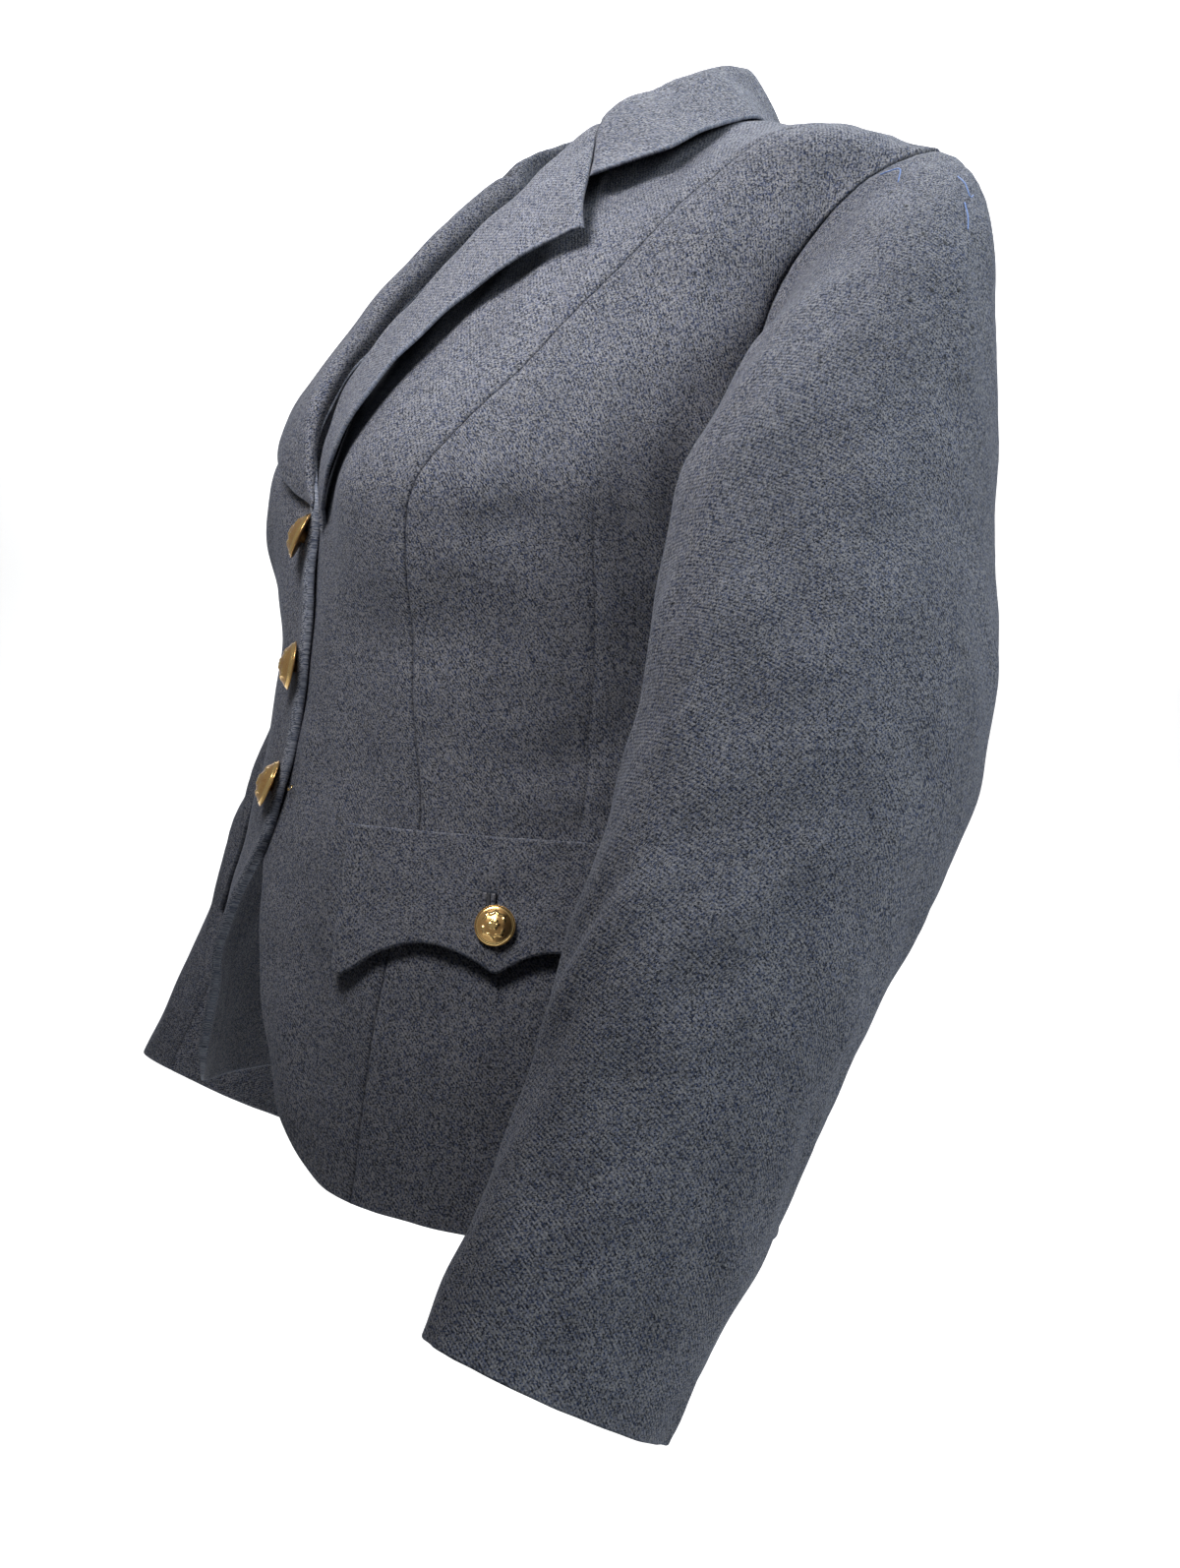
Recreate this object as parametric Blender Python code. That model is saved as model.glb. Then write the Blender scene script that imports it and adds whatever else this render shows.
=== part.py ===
"""Single-breasted uniform jacket, closed and hollow, as separate cut-and-sewn cloth pieces.

Frame: metres, +Z up, +X toward the wearer's left, the front faces -Y.
The origin lies inside the neck opening, level with the base of the collar stand.
"""

import math
from collections import namedtuple

import bmesh
import bpy
import numpy as np
from mathutils import Vector

# Driving sizes
CLOTH = 0.0022
FACED_EDGE = 0.0044
SEAM_GAP = 0.00060
RIGHT_OVERLAP = 0.0130
LEFT_OVERLAP = 0.0160
RIGHT_RAISE = 0.0052
BREAK_Z = -0.245

BUTTON_RADIUS = 0.0127
BUTTON_DOME = 0.0062
POCKET_BUTTON_RADIUS = 0.0095
POCKET_BUTTON_DOME = 0.0048
BUTTON_HEIGHTS = (-0.2634, -0.3310, -0.3950)
BUTTON_OFFSET = 0.0015

FLAP_CENTRE = 0.1725
FLAP_BUTTON_Z = -0.4440
FLAP_CLOTH = 0.0026

# Horizontal outlines of the body, from the hem up to the neck.
BodySection = namedtuple("BodySection", "z half_width front_y side_y back_y front_power back_power")
BODY_SECTIONS = (
    BodySection(-0.615, 0.207, -0.187, -0.012, 0.112, 2.10, 2.2),
    BodySection(-0.560, 0.202, -0.183, -0.010, 0.112, 2.10, 2.2),
    BodySection(-0.490, 0.191, -0.179, -0.006, 0.107, 2.10, 2.2),
    BodySection(-0.430, 0.177, -0.171, -0.002, 0.095, 2.10, 2.2),
    BodySection(-0.375, 0.166, -0.163, 0.001, 0.086, 2.10, 2.2),
    BodySection(-0.320, 0.165, -0.160, 0.005, 0.092, 2.15, 2.2),
    BodySection(-0.265, 0.173, -0.161, 0.011, 0.108, 2.20, 2.2),
    BodySection(-0.225, 0.181, -0.158, 0.017, 0.119, 2.20, 2.2),
    BodySection(-0.180, 0.185, -0.145, 0.026, 0.127, 2.20, 2.2),
    BodySection(-0.135, 0.190, -0.121, 0.036, 0.131, 2.20, 2.2),
    BodySection(-0.100, 0.197, -0.096, 0.045, 0.129, 2.20, 2.2),
    BodySection(-0.075, 0.203, -0.076, 0.052, 0.122, 2.20, 2.1),
    BodySection(-0.055, 0.206, -0.058, 0.060, 0.113, 2.20, 2.0),
    BodySection(-0.0430, 0.184, -0.045, 0.053, 0.103, 2.20, 2.0),
    BodySection(-0.0345, 0.155, -0.037, 0.043, 0.094, 2.20, 2.0),
    BodySection(-0.0280, 0.125, -0.031, 0.032, 0.087, 2.20, 2.0),
    BodySection(-0.0225, 0.098, -0.025, 0.024, 0.080, 2.20, 2.1),
    BodySection(-0.0155, 0.080, -0.019, 0.020, 0.072, 2.20, 2.2),
    BodySection(-0.0060, 0.067, -0.012, 0.020, 0.065, 2.20, 2.2),
    BodySection(0.0060, 0.058, -0.005, 0.022, 0.059, 2.20, 2.2),
)
BUST_X = 0.085
BUST_Z = -0.236
BUST_WIDE = 0.052
BUST_TALL = 0.060
BUST_LIFT = 0.021
HOLLOW_X = 0.118
HOLLOW_Z = -0.055
HOLLOW_WIDE = 0.040
HOLLOW_TALL = 0.030
HOLLOW_DEPTH = 0.015

# Seam lines on the body: girth is the distance round the outline from the centre front.
SeamPoint = namedtuple("SeamPoint", "girth z")
PRINCESS_SEAM = (
    SeamPoint(0.1760, -0.0480),
    SeamPoint(0.1650, -0.0620),
    SeamPoint(0.1562, -0.0826),
    SeamPoint(0.1517, -0.1186),
    SeamPoint(0.1389, -0.1615),
    SeamPoint(0.1319, -0.1878),
    SeamPoint(0.1220, -0.2138),
    SeamPoint(0.1114, -0.2386),
    SeamPoint(0.1050, -0.2600),
    SeamPoint(0.0990, -0.2989),
    SeamPoint(0.0996, -0.3362),
    SeamPoint(0.1056, -0.3649),
    SeamPoint(0.1180, -0.4029),
    SeamPoint(0.1215, -0.4400),
    SeamPoint(0.1235, -0.4722),
    SeamPoint(0.1255, -0.5009),
    SeamPoint(0.1275, -0.5272),
    SeamPoint(0.1309, -0.5815),
)
ROLL_LINE = (
    SeamPoint(0.0570, -0.0380),
    SeamPoint(0.0585, -0.0600),
    SeamPoint(0.0580, -0.0800),
    SeamPoint(0.0540, -0.1000),
    SeamPoint(0.0470, -0.1260),
    SeamPoint(0.0330, -0.1600),
    SeamPoint(0.0150, -0.2000),
    SeamPoint(0.0050, -0.2220),
    SeamPoint(-0.0040, -0.2360),
    SeamPoint(-0.0130, -0.2450),
)
CUTAWAY = (
    SeamPoint(-0.0130, -0.4000),
    SeamPoint(-0.0090, -0.4200),
    SeamPoint(0.0000, -0.4350),
    SeamPoint(0.0090, -0.4480),
    SeamPoint(0.0250, -0.4770),
    SeamPoint(0.0430, -0.5050),
    SeamPoint(0.0600, -0.5300),
    SeamPoint(0.0740, -0.5500),
)
HEM_FRONT = (
    SeamPoint(0.0740, -0.5500),
    SeamPoint(0.0920, -0.5670),
    SeamPoint(0.1120, -0.5770),
    SeamPoint(0.1309, -0.5815),
)
LAPEL_EDGE = (
    SeamPoint(0.1240, -0.1110),
    SeamPoint(0.1120, -0.1165),
    SeamPoint(0.1030, -0.1240),
    SeamPoint(0.0920, -0.1360),
    SeamPoint(0.0830, -0.1480),
    SeamPoint(0.0770, -0.1600),
    SeamPoint(0.0720, -0.1730),
    SeamPoint(0.0680, -0.1870),
    SeamPoint(0.0640, -0.2010),
    SeamPoint(0.0570, -0.2170),
    SeamPoint(0.0470, -0.2330),
    SeamPoint(0.0340, -0.2480),
    SeamPoint(0.0200, -0.2600),
)
HEM_SIDE_Z = -0.588
HEM_BACK_Z = -0.596
SHOULDER_TIP_Z = -0.0545
NECK_POINT_Z = -0.0195
BACK_NECK_Z = -0.0010
PRINCESS_TOP_Z = -0.0350
BACK_YOKE_Z = -0.0750

# The armhole is an upright oval on the body, measured from the side line.
ARMHOLE_TOP = -0.0545
ARMHOLE_BOTTOM = -0.2300
ARMHOLE_FRONT = 0.0480
ARMHOLE_BACK = 0.0420

# Sleeve outlines square to the arm line; out is toward +X, fore toward the wearer's front.
SleeveSection = namedtuple("SleeveSection", "x y z out fore")
SLEEVE_SECTIONS = (
    SleeveSection(0.2370, 0.0030, -0.2480, 0.0465, 0.0830),
    SleeveSection(0.2450, 0.0005, -0.3000, 0.0490, 0.0885),
    SleeveSection(0.2510, -0.0085, -0.3500, 0.0480, 0.0875),
    SleeveSection(0.2550, -0.0265, -0.4000, 0.0455, 0.0805),
    SleeveSection(0.2590, -0.0470, -0.4500, 0.0430, 0.0740),
    SleeveSection(0.2620, -0.0690, -0.5200, 0.0390, 0.0680),
    SleeveSection(0.2640, -0.0920, -0.5720, 0.0360, 0.0640),
    SleeveSection(0.2660, -0.1120, -0.6180, 0.0340, 0.0615),
)
RIGHT_SLEEVE_IN = -0.008
RIGHT_SLEEVE_BACK = 0.012
SLEEVE_FRONT_SEAM = 128.0
SLEEVE_BACK_SEAM = 238.0

# Collar fold and outer edge from the centre back round to the gorge, in metres.
CollarStation = namedtuple("CollarStation", "fold_x fold_y fold_z edge_x edge_y edge_z")
COLLAR_STATIONS = (
    CollarStation(0.000, 0.0530, 0.0280, 0.000, 0.0770, -0.0110),
    CollarStation(0.026, 0.0500, 0.0275, 0.035, 0.0720, -0.0120),
    CollarStation(0.049, 0.0420, 0.0245, 0.069, 0.0560, -0.0120),
    CollarStation(0.065, 0.0240, 0.0185, 0.095, 0.0350, -0.0165),
    CollarStation(0.069, 0.0000, 0.0080, 0.110, 0.0140, -0.0245),
    CollarStation(0.067, -0.0190, -0.0035, 0.119, -0.0110, -0.0342),
    CollarStation(0.063, -0.0350, -0.0120, 0.121, -0.0370, -0.0518),
    CollarStation(0.061, -0.0400, -0.0150, 0.117, -0.0470, -0.0592),
    CollarStation(0.059, -0.0440, -0.0220, 0.092, -0.0725, -0.0717),
)
NOTCH_PART = 4.72
GORGE_GAP = 0.0012

# Rows of faces down each panel.
PATCH_FADE = 1.6
NECK_ROWS = 3
ROLL_ROWS = 10
EDGE_ROWS = 5
CUTAWAY_ROWS = 9
BODY_ROWS = NECK_ROWS + ROLL_ROWS + EDGE_ROWS + CUTAWAY_ROWS - 3
ARMHOLE_ROWS = 11
SHOULDER_ROWS = 6


# Smooth tables and the body surface
def smooth_rows(rows, at):
    """Pass a smooth curve through the rows of a table; at counts rows from 0."""
    rows = np.asarray(rows, float)
    last = len(rows) - 1
    at = np.clip(np.atleast_1d(np.asarray(at, float)), 0.0, last - 1e-9)
    low = at.astype(int)
    part = (at - low)[:, None]
    p1 = rows[low]
    p2 = rows[low + 1]
    p0 = np.where((low == 0)[:, None], 2 * p1 - p2, rows[np.maximum(low - 1, 0)])
    p3 = np.where((low + 2 > last)[:, None], 2 * p2 - p1, rows[np.minimum(low + 2, last)])
    linear = (p2 - p0) * part
    square = (2 * p0 - 5 * p1 + 4 * p2 - p3) * part**2
    cube = (3 * p1 - p0 - 3 * p2 + p3) * part**3
    return 0.5 * (2 * p1 + linear + square + cube)


def even_curve(rows, count):
    """Return count points spaced evenly along the smooth curve through rows."""
    dense = smooth_rows(rows, np.linspace(0, len(rows) - 1, 400))
    run = np.concatenate([[0.0], np.cumsum(np.linalg.norm(np.diff(dense, axis=0), axis=1))])
    want = np.linspace(0, run[-1], count)
    return np.stack([np.interp(want, run, dense[:, k]) for k in range(dense.shape[1])], axis=1)


class BodyForm:
    """Outer face of the body cloth, read by girth from the centre front and height."""

    ROWS = 321
    COLUMNS = 321
    ANGLES = 961

    def __init__(self, sections):
        table = smooth_rows(sections, np.linspace(0, len(sections) - 1, self.ROWS))
        self.z = table[:, 0]
        angle = np.linspace(-math.pi, math.pi, self.ANGLES)
        sine = np.sin(angle)
        cosine = np.cos(angle)
        self.points = np.zeros((self.ROWS, self.COLUMNS, 3))
        self.half = np.zeros(self.ROWS)
        self.side = np.zeros(self.ROWS)
        for row, (z, half_width, front_y, side_y, back_y, front_power, back_power) in enumerate(table):
            power = np.where(cosine > 0, front_power, back_power)
            x = half_width * np.sign(sine) * np.abs(sine) ** (2 / power)
            depth = np.where(cosine > 0, front_y - side_y, back_y - side_y)
            y = side_y + depth * np.abs(cosine) ** (2 / power)
            across = ((np.abs(x) - BUST_X) / BUST_WIDE) ** 2
            up = ((z - BUST_Z) / BUST_TALL) ** 2
            y = y - BUST_LIFT * np.exp(-across - up) * np.clip(cosine * 3, 0, 1)
            across = ((np.abs(x) - HOLLOW_X) / HOLLOW_WIDE) ** 2
            up = ((z - HOLLOW_Z) / HOLLOW_TALL) ** 2
            y = y + HOLLOW_DEPTH * np.exp(-across - up) * np.clip(cosine * 3, 0, 1)
            run = np.concatenate([[0.0], np.cumsum(np.hypot(np.diff(x), np.diff(y)))])
            want = np.linspace(0, run[-1], self.COLUMNS)
            self.points[row, :, 0] = np.interp(want, run, x)
            self.points[row, :, 1] = np.interp(want, run, y)
            self.points[row, :, 2] = z
            self.half[row] = run[-1] / 2
            self.side[row] = run[(self.ANGLES - 1) * 3 // 4] - run[self.ANGLES // 2]
        normals = np.cross(np.gradient(self.points, axis=1), np.gradient(self.points, axis=0))
        self.normals = normals / np.linalg.norm(normals, axis=2, keepdims=True)

    def side_at(self, z):
        """Girth of the side line at height z."""
        return np.interp(z, self.z, self.side)

    def half_at(self, z):
        """Girth of the centre back at height z."""
        return np.interp(z, self.z, self.half)

    def at(self, girth, z, out=0.0):
        """Points at the girth and height, moved out along the surface normal."""
        girth, z, out = np.broadcast_arrays(np.asarray(girth, float), np.asarray(z, float), np.asarray(out, float))
        row = np.clip(np.interp(z, self.z, np.arange(self.ROWS)), 0, self.ROWS - 1.0001)
        half = np.interp(row, np.arange(self.ROWS), self.half)
        column = np.clip((girth / half + 1) / 2 * (self.COLUMNS - 1), 0, self.COLUMNS - 1.0001)
        i = row.astype(int)
        j = column.astype(int)
        fi = (row - i)[..., None]
        fj = (column - j)[..., None]

        def mix(grid):
            low = grid[i, j] * (1 - fj) + grid[i, j + 1] * fj
            high = grid[i + 1, j] * (1 - fj) + grid[i + 1, j + 1] * fj
            return low * (1 - fi) + high * fi

        normal = mix(self.normals)
        normal = normal / np.linalg.norm(normal, axis=-1, keepdims=True)
        return mix(self.points) + normal * out[..., None]


# Meshes, materials and objects
def clear_file():
    for data in (bpy.data.objects, bpy.data.meshes, bpy.data.materials, bpy.data.collections):
        for item in list(data):
            data.remove(item)


def make_material(name, colour, roughness, metallic=0.0):
    material = bpy.data.materials.new(name)
    material.use_nodes = True
    shader = material.node_tree.nodes["Principled BSDF"]
    shader.inputs["Base Color"].default_value = (*colour, 1.0)
    shader.inputs["Roughness"].default_value = roughness
    shader.inputs["Metallic"].default_value = metallic
    return material


def add_object(name, mesh, material, collection):
    mesh.materials.append(material)
    thing = bpy.data.objects.new(name, mesh)
    collection.objects.link(thing)
    return thing


def wall_mesh(name, outer, inner):
    """Close two matching point grids into one thin wall with its four edges."""
    rows, columns = outer.shape[:2]
    count = rows * columns
    points = np.concatenate([outer.reshape(-1, 3), inner.reshape(-1, 3)])
    faces = []
    for r in range(rows - 1):
        for c in range(columns - 1):
            a = r * columns + c
            ring = (a, a + 1, a + columns + 1, a + columns)
            faces.append(ring)
            faces.append(tuple(count + k for k in reversed(ring)))
    rim = [c for c in range(columns)]
    rim += [r * columns + columns - 1 for r in range(1, rows)]
    rim += [(rows - 1) * columns + c for c in range(columns - 2, -1, -1)]
    rim += [r * columns for r in range(rows - 2, 0, -1)]
    for k, a in enumerate(rim):
        b = rim[(k + 1) % len(rim)]
        faces.append((b, a, count + a, count + b))
    mesh = bpy.data.meshes.new(name)
    mesh.from_pydata(points.tolist(), [], faces)
    shape = bmesh.new()
    shape.from_mesh(mesh)
    if shape.calc_volume(signed=True) < 0:
        bmesh.ops.reverse_faces(shape, faces=shape.faces[:])
    shape.to_mesh(mesh)
    shape.free()
    return mesh


def mirrored(points, side):
    """Points of the wearer's left half, or their mirror image for the right half."""
    return points * np.array([side, 1.0, 1.0])


def grid_normals(points):
    """Unit normals of a point grid, from its rows and columns."""
    normals = np.cross(np.gradient(points, axis=1), np.gradient(points, axis=0))
    return normals / np.maximum(np.linalg.norm(normals, axis=2, keepdims=True), 1e-12)


# Body panels
def patch(first, second, top, bottom):
    """Fill a grid between four edge curves; first and second run down, the others across."""
    rows = len(first)
    columns = len(top)
    u = np.linspace(0, 1, columns)[None, :, None]
    v = np.linspace(0, 1, rows)[:, None, None]
    across = first[:, None] * (1 - u) + second[:, None] * u
    line = u[0]
    top = top + (first[0] - top[0])[None] * (1 - line) + (second[0] - top[-1])[None] * line
    bottom = bottom + (first[-1] - bottom[0])[None] * (1 - line) + (second[-1] - bottom[-1])[None] * line
    change_top = (top - across[0])[None]
    change_bottom = (bottom - across[-1])[None]
    return across + change_top * (1 - v) ** PATCH_FADE + change_bottom * v**PATCH_FADE


def straight(start, end, count):
    """Points spaced evenly from start to end."""
    part = np.linspace(0, 1, count)[:, None]
    return start * (1 - part) + end * part


def shift_girth(curve, amount):
    moved = curve.copy()
    moved[:, 0] += amount
    return moved


def shift_square(body, curve, amount):
    """Move a (girth, z) curve sideways over the cloth by a true distance, toward more girth."""
    step = 0.0002
    here = body.at(curve[:, 0], curve[:, 1])
    by_girth = (body.at(curve[:, 0] + step, curve[:, 1]) - here) / step
    by_z = (body.at(curve[:, 0], curve[:, 1] + step) - here) / step
    aside = np.cross(np.cross(by_girth, by_z), np.gradient(here, axis=0))
    aside = aside / np.linalg.norm(aside, axis=1, keepdims=True)
    aside = aside * np.sign(np.sum(aside * by_girth, axis=1, keepdims=True)) * amount
    moved = curve.copy()
    for row, columns in enumerate(np.stack([by_girth, by_z], axis=2)):
        moved[row] += np.linalg.lstsq(columns, aside[row], rcond=None)[0]
    return moved


def princess_curve(body, rows, aside):
    """The princess seam from the shoulder seam to the hem, set to one side of the line."""
    top = SeamPoint(float(body.side_at(PRINCESS_TOP_Z)) - SEAM_GAP, PRINCESS_TOP_Z)
    return shift_square(body, even_curve((top,) + PRINCESS_SEAM, rows), aside)


def overlap_out(girth, z, side):
    """How far the front stands out from the body where the right front laps over."""
    if side > 0:
        return np.zeros_like(girth)
    near = np.clip((0.062 - girth) / 0.042, 0, 1)
    near = near * near * (3 - 2 * near)
    low = np.clip((z - (BREAK_Z + 0.045)) / 0.06, 0, 1)
    return RIGHT_RAISE * near * (1 - low * low * (3 - 2 * low))


def front_thickness(z):
    """Cloth thickness of a front, fuller along its faced edge below the break."""
    near = np.clip(1 - np.linspace(0, 1, z.shape[1]) / 0.30, 0, 1)[None]
    low = np.clip((z - (BREAK_Z - 0.005)) / 0.03, 0, 1)
    return CLOTH + (FACED_EDGE - CLOTH) * near * (1 - low)


def front_outline(body, overlap):
    """The inner edge of a front: neckline, roll line, closing edge and cutaway."""
    neck = even_curve(
        (
            SeamPoint(float(body.side_at(NECK_POINT_Z)) - SEAM_GAP / 2, NECK_POINT_Z),
            SeamPoint(0.0900, -0.0235),
            SeamPoint(0.0730, -0.0320),
            ROLL_LINE[0],
        ),
        NECK_ROWS,
    )
    roll = even_curve(ROLL_LINE[:-1] + (SeamPoint(-overlap, BREAK_Z),), ROLL_ROWS)
    edge = np.array([(-overlap, z) for z in np.linspace(BREAK_Z, -0.400, EDGE_ROWS)])
    away = even_curve((SeamPoint(-overlap, -0.400),) + CUTAWAY[1:], CUTAWAY_ROWS)
    return np.concatenate([neck, roll[1:], edge[1:], away[1:]])


def shoulder_row(body, start_z, end_z, count, aside):
    """Points along the shoulder seam between two heights, a little to one side of it."""
    z = np.linspace(start_z, end_z, count)
    return np.stack([body.side_at(z) + aside, z], axis=1)


def front_grid(body, side, columns):
    """(girth, z) grid of a front between its inner edge and the princess seam."""
    overlap = LEFT_OVERLAP if side > 0 else RIGHT_OVERLAP
    inner = front_outline(body, overlap)
    rows = len(inner)
    outer = princess_curve(body, rows, -SEAM_GAP / 2)
    top = shoulder_row(body, NECK_POINT_Z, PRINCESS_TOP_Z, columns, -SEAM_GAP / 2)
    return patch(inner, outer, top, even_curve(HEM_FRONT, columns))


def armhole_curve(body, degrees, grow=0.0):
    """(girth, z) round the armhole; 0 is the shoulder, 90 the front, 180 the underarm."""
    angle = np.radians(np.atleast_1d(np.asarray(degrees, float)))
    middle = (ARMHOLE_TOP + ARMHOLE_BOTTOM) / 2
    tall = (ARMHOLE_TOP - ARMHOLE_BOTTOM) / 2
    z = middle + (tall + grow) * np.cos(angle)
    wide = np.where(np.sin(angle) > 0, ARMHOLE_FRONT, ARMHOLE_BACK) + grow
    return np.stack([body.side_at(z) - wide * np.sin(angle), z], axis=1)


def side_outline(body, hole_degrees, aside):
    """Armhole and side seam as one curve from the shoulder tip to the hem."""
    hole = armhole_curve(body, hole_degrees)
    low_z = np.linspace(ARMHOLE_BOTTOM, HEM_SIDE_Z, BODY_ROWS - len(hole) + 1)
    low = np.stack([body.side_at(low_z), low_z], axis=1)
    return shift_girth(np.concatenate([hole[:-1], low]), aside)


def side_front_grid(body, columns):
    """Grid of the side front between the princess seam, armhole and side seam."""
    inner = princess_curve(body, BODY_ROWS, SEAM_GAP / 2)
    outer = side_outline(body, np.linspace(1.0, 180, ARMHOLE_ROWS), -SEAM_GAP / 2)
    top = shoulder_row(body, PRINCESS_TOP_Z, SHOULDER_TIP_Z, columns, -SEAM_GAP / 2)
    return patch(inner, outer, top, straight(inner[-1], outer[-1], columns))


def back_grid(body, columns):
    """Grid of a back; its outer edge runs down the shoulder, the armhole and the side seam."""
    shoulder = shoulder_row(body, NECK_POINT_Z, SHOULDER_TIP_Z, SHOULDER_ROWS, SEAM_GAP / 2)
    outer = side_outline(body, np.linspace(359.0, 180, ARMHOLE_ROWS), SEAM_GAP / 2)
    outer = np.concatenate([shoulder[:-1], outer])
    rows = len(outer)
    marks = (0, SHOULDER_ROWS - 1, SHOULDER_ROWS + ARMHOLE_ROWS - 2, rows - 1)
    levels = (BACK_NECK_Z, BACK_YOKE_Z, ARMHOLE_BOTTOM - 0.004, HEM_BACK_Z)
    centre_z = np.interp(np.arange(rows), marks, levels)
    centre = np.stack([body.half_at(centre_z) - SEAM_GAP / 2, centre_z], axis=1)
    turn = np.linspace(0, 1, columns)
    top_z = NECK_POINT_Z + (BACK_NECK_Z - NECK_POINT_Z) * np.sin(turn * math.pi / 2)
    low = body.side_at(top_z)
    top = np.stack([low + (body.half_at(top_z) - low) * turn, top_z], axis=1)
    curves = []
    for curve in (outer, centre, top):
        curves.append(np.stack([curve[:, 0] / body.half_at(curve[:, 1]), curve[:, 1]], axis=1))
    outer, centre, top = curves
    grid = patch(outer, centre, top, straight(outer[-1], centre[-1], columns))
    grid[..., 0] *= body.half_at(grid[..., 1])
    return grid


def build_body(body, cloth, collection):
    for side, label in ((1, "left"), (-1, "right")):
        grid = front_grid(body, side, 8)
        out = overlap_out(grid[..., 0], grid[..., 1], side)
        thick = front_thickness(grid[..., 1])
        outer = mirrored(body.at(grid[..., 0], grid[..., 1], out), side)
        inner = mirrored(body.at(grid[..., 0], grid[..., 1], out - thick), side)
        add_object(f"front_{label}", wall_mesh(f"front_{label}", outer, inner), cloth, collection)

        grid = side_front_grid(body, 6)
        outer = mirrored(body.at(grid[..., 0], grid[..., 1]), side)
        inner = mirrored(body.at(grid[..., 0], grid[..., 1], -CLOTH), side)
        add_object(f"side_front_{label}", wall_mesh(f"side_front_{label}", outer, inner), cloth, collection)

        grid = back_grid(body, 9)
        outer = mirrored(body.at(grid[..., 0], grid[..., 1]), side)
        inner = mirrored(body.at(grid[..., 0], grid[..., 1], -CLOTH), side)
        add_object(f"back_{label}", wall_mesh(f"back_{label}", outer, inner), cloth, collection)


# Sleeves
class SleeveForm:
    """Outer face of the left sleeve, by angle round it and length along it."""

    def __init__(self, body, side):
        table = np.array(SLEEVE_SECTIONS)
        if side < 0:
            fall = (table[0, 2] - table[:, 2]) / (table[0, 2] - table[-1, 2])
            table[:, 0] += RIGHT_SLEEVE_IN * fall
            table[:, 1] += RIGHT_SLEEVE_BACK * fall
        self.table = table
        self.body = body
        path = smooth_rows(table[:, :3], np.linspace(0, len(table) - 1, 200))
        run = np.concatenate([[0.0], np.cumsum(np.linalg.norm(np.diff(path, axis=0), axis=1))])
        self.length = run[-1]
        self.run = run

    def ring(self, at, degrees):
        """Points round one sleeve outline at table row position at."""
        angle = np.radians(degrees)
        here = smooth_rows(self.table, [at])[0]
        ahead = smooth_rows(self.table, [min(at + 0.05, len(self.table) - 1)])[0]
        behind = smooth_rows(self.table, [max(at - 0.05, 0)])[0]
        along = ahead[:3] - behind[:3]
        along = along / np.linalg.norm(along)
        fore = np.cross(np.array([1.0, 0.0, 0.0]), along)
        fore = fore / np.linalg.norm(fore)
        if fore[1] > 0:
            fore = -fore
        away = np.cross(along, fore)
        if away[0] < 0:
            away = -away
        spread = away[None] * (here[3] * np.cos(angle))[:, None]
        spread = spread + fore[None] * (here[4] * np.sin(angle))[:, None]
        return here[:3][None] + spread, along

    def head(self, part, degrees):
        """Points between the armhole (part 0) and the first full outline (part 1)."""
        angle = np.radians(degrees)
        hole = armhole_curve(self.body, degrees, -0.0008)
        start = self.body.at(hole[:, 0], hole[:, 1], 0.0004)
        end, along = self.ring(0.0, degrees)
        reach = np.linalg.norm(end - start, axis=1)[:, None]
        lift = np.stack(
            [
                np.ones_like(angle),
                -0.15 * np.sin(angle),
                -0.35 + 0.10 * np.minimum(np.cos(angle), 0),
            ],
            axis=1,
        )
        lift = lift / np.linalg.norm(lift, axis=1, keepdims=True)
        near = start + lift * reach * 0.30
        far = end - along[None] * reach * 0.36
        t = part
        return (
            (1 - t) ** 3 * start
            + 3 * (1 - t) ** 2 * t * near
            + 3 * (1 - t) * t**2 * far
            + t**3 * end
        )

    def grid(self, degrees, head_rows, tube_rows):
        rows = [self.head(t, degrees) for t in np.linspace(0, 1, head_rows)]
        last = len(self.table) - 1
        rows += [self.ring(t, degrees)[0] for t in np.linspace(0, last, tube_rows)[1:]]
        return np.array(rows)


def sleeve_wall(form, first, last, columns, head_rows, tube_rows):
    """Outer and inner grids of a sleeve piece between two angles."""
    step = 0.5
    wide = np.linspace(first, last, columns)
    outer = form.grid(wide, head_rows, tube_rows)
    ahead = form.grid(wide + step, head_rows, tube_rows)
    behind = form.grid(wide - step, head_rows, tube_rows)
    across = ahead - behind
    along = np.gradient(outer, axis=0)
    normals = np.cross(across, along)
    normals = normals / np.linalg.norm(normals, axis=2, keepdims=True)
    centre = outer.mean(axis=1, keepdims=True)
    if np.mean(np.sum(normals * (outer - centre), axis=2)) < 0:
        normals = -normals
    return outer, outer - normals * CLOTH


def build_sleeves(body, cloth, collection):
    gap = 0.22
    for side, label in ((1, "left"), (-1, "right")):
        form = SleeveForm(body, side)
        outer, inner = sleeve_wall(form, SLEEVE_BACK_SEAM - 360 + gap, SLEEVE_FRONT_SEAM - gap, 15, 7, 10)
        mesh = wall_mesh(f"top_sleeve_{label}", mirrored(outer, side), mirrored(inner, side))
        add_object(f"top_sleeve_{label}", mesh, cloth, collection)
        outer, inner = sleeve_wall(form, SLEEVE_FRONT_SEAM + gap, SLEEVE_BACK_SEAM - gap, 8, 7, 10)
        mesh = wall_mesh(f"under_sleeve_{label}", mirrored(outer, side), mirrored(inner, side))
        add_object(f"under_sleeve_{label}", mesh, cloth, collection)


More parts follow.
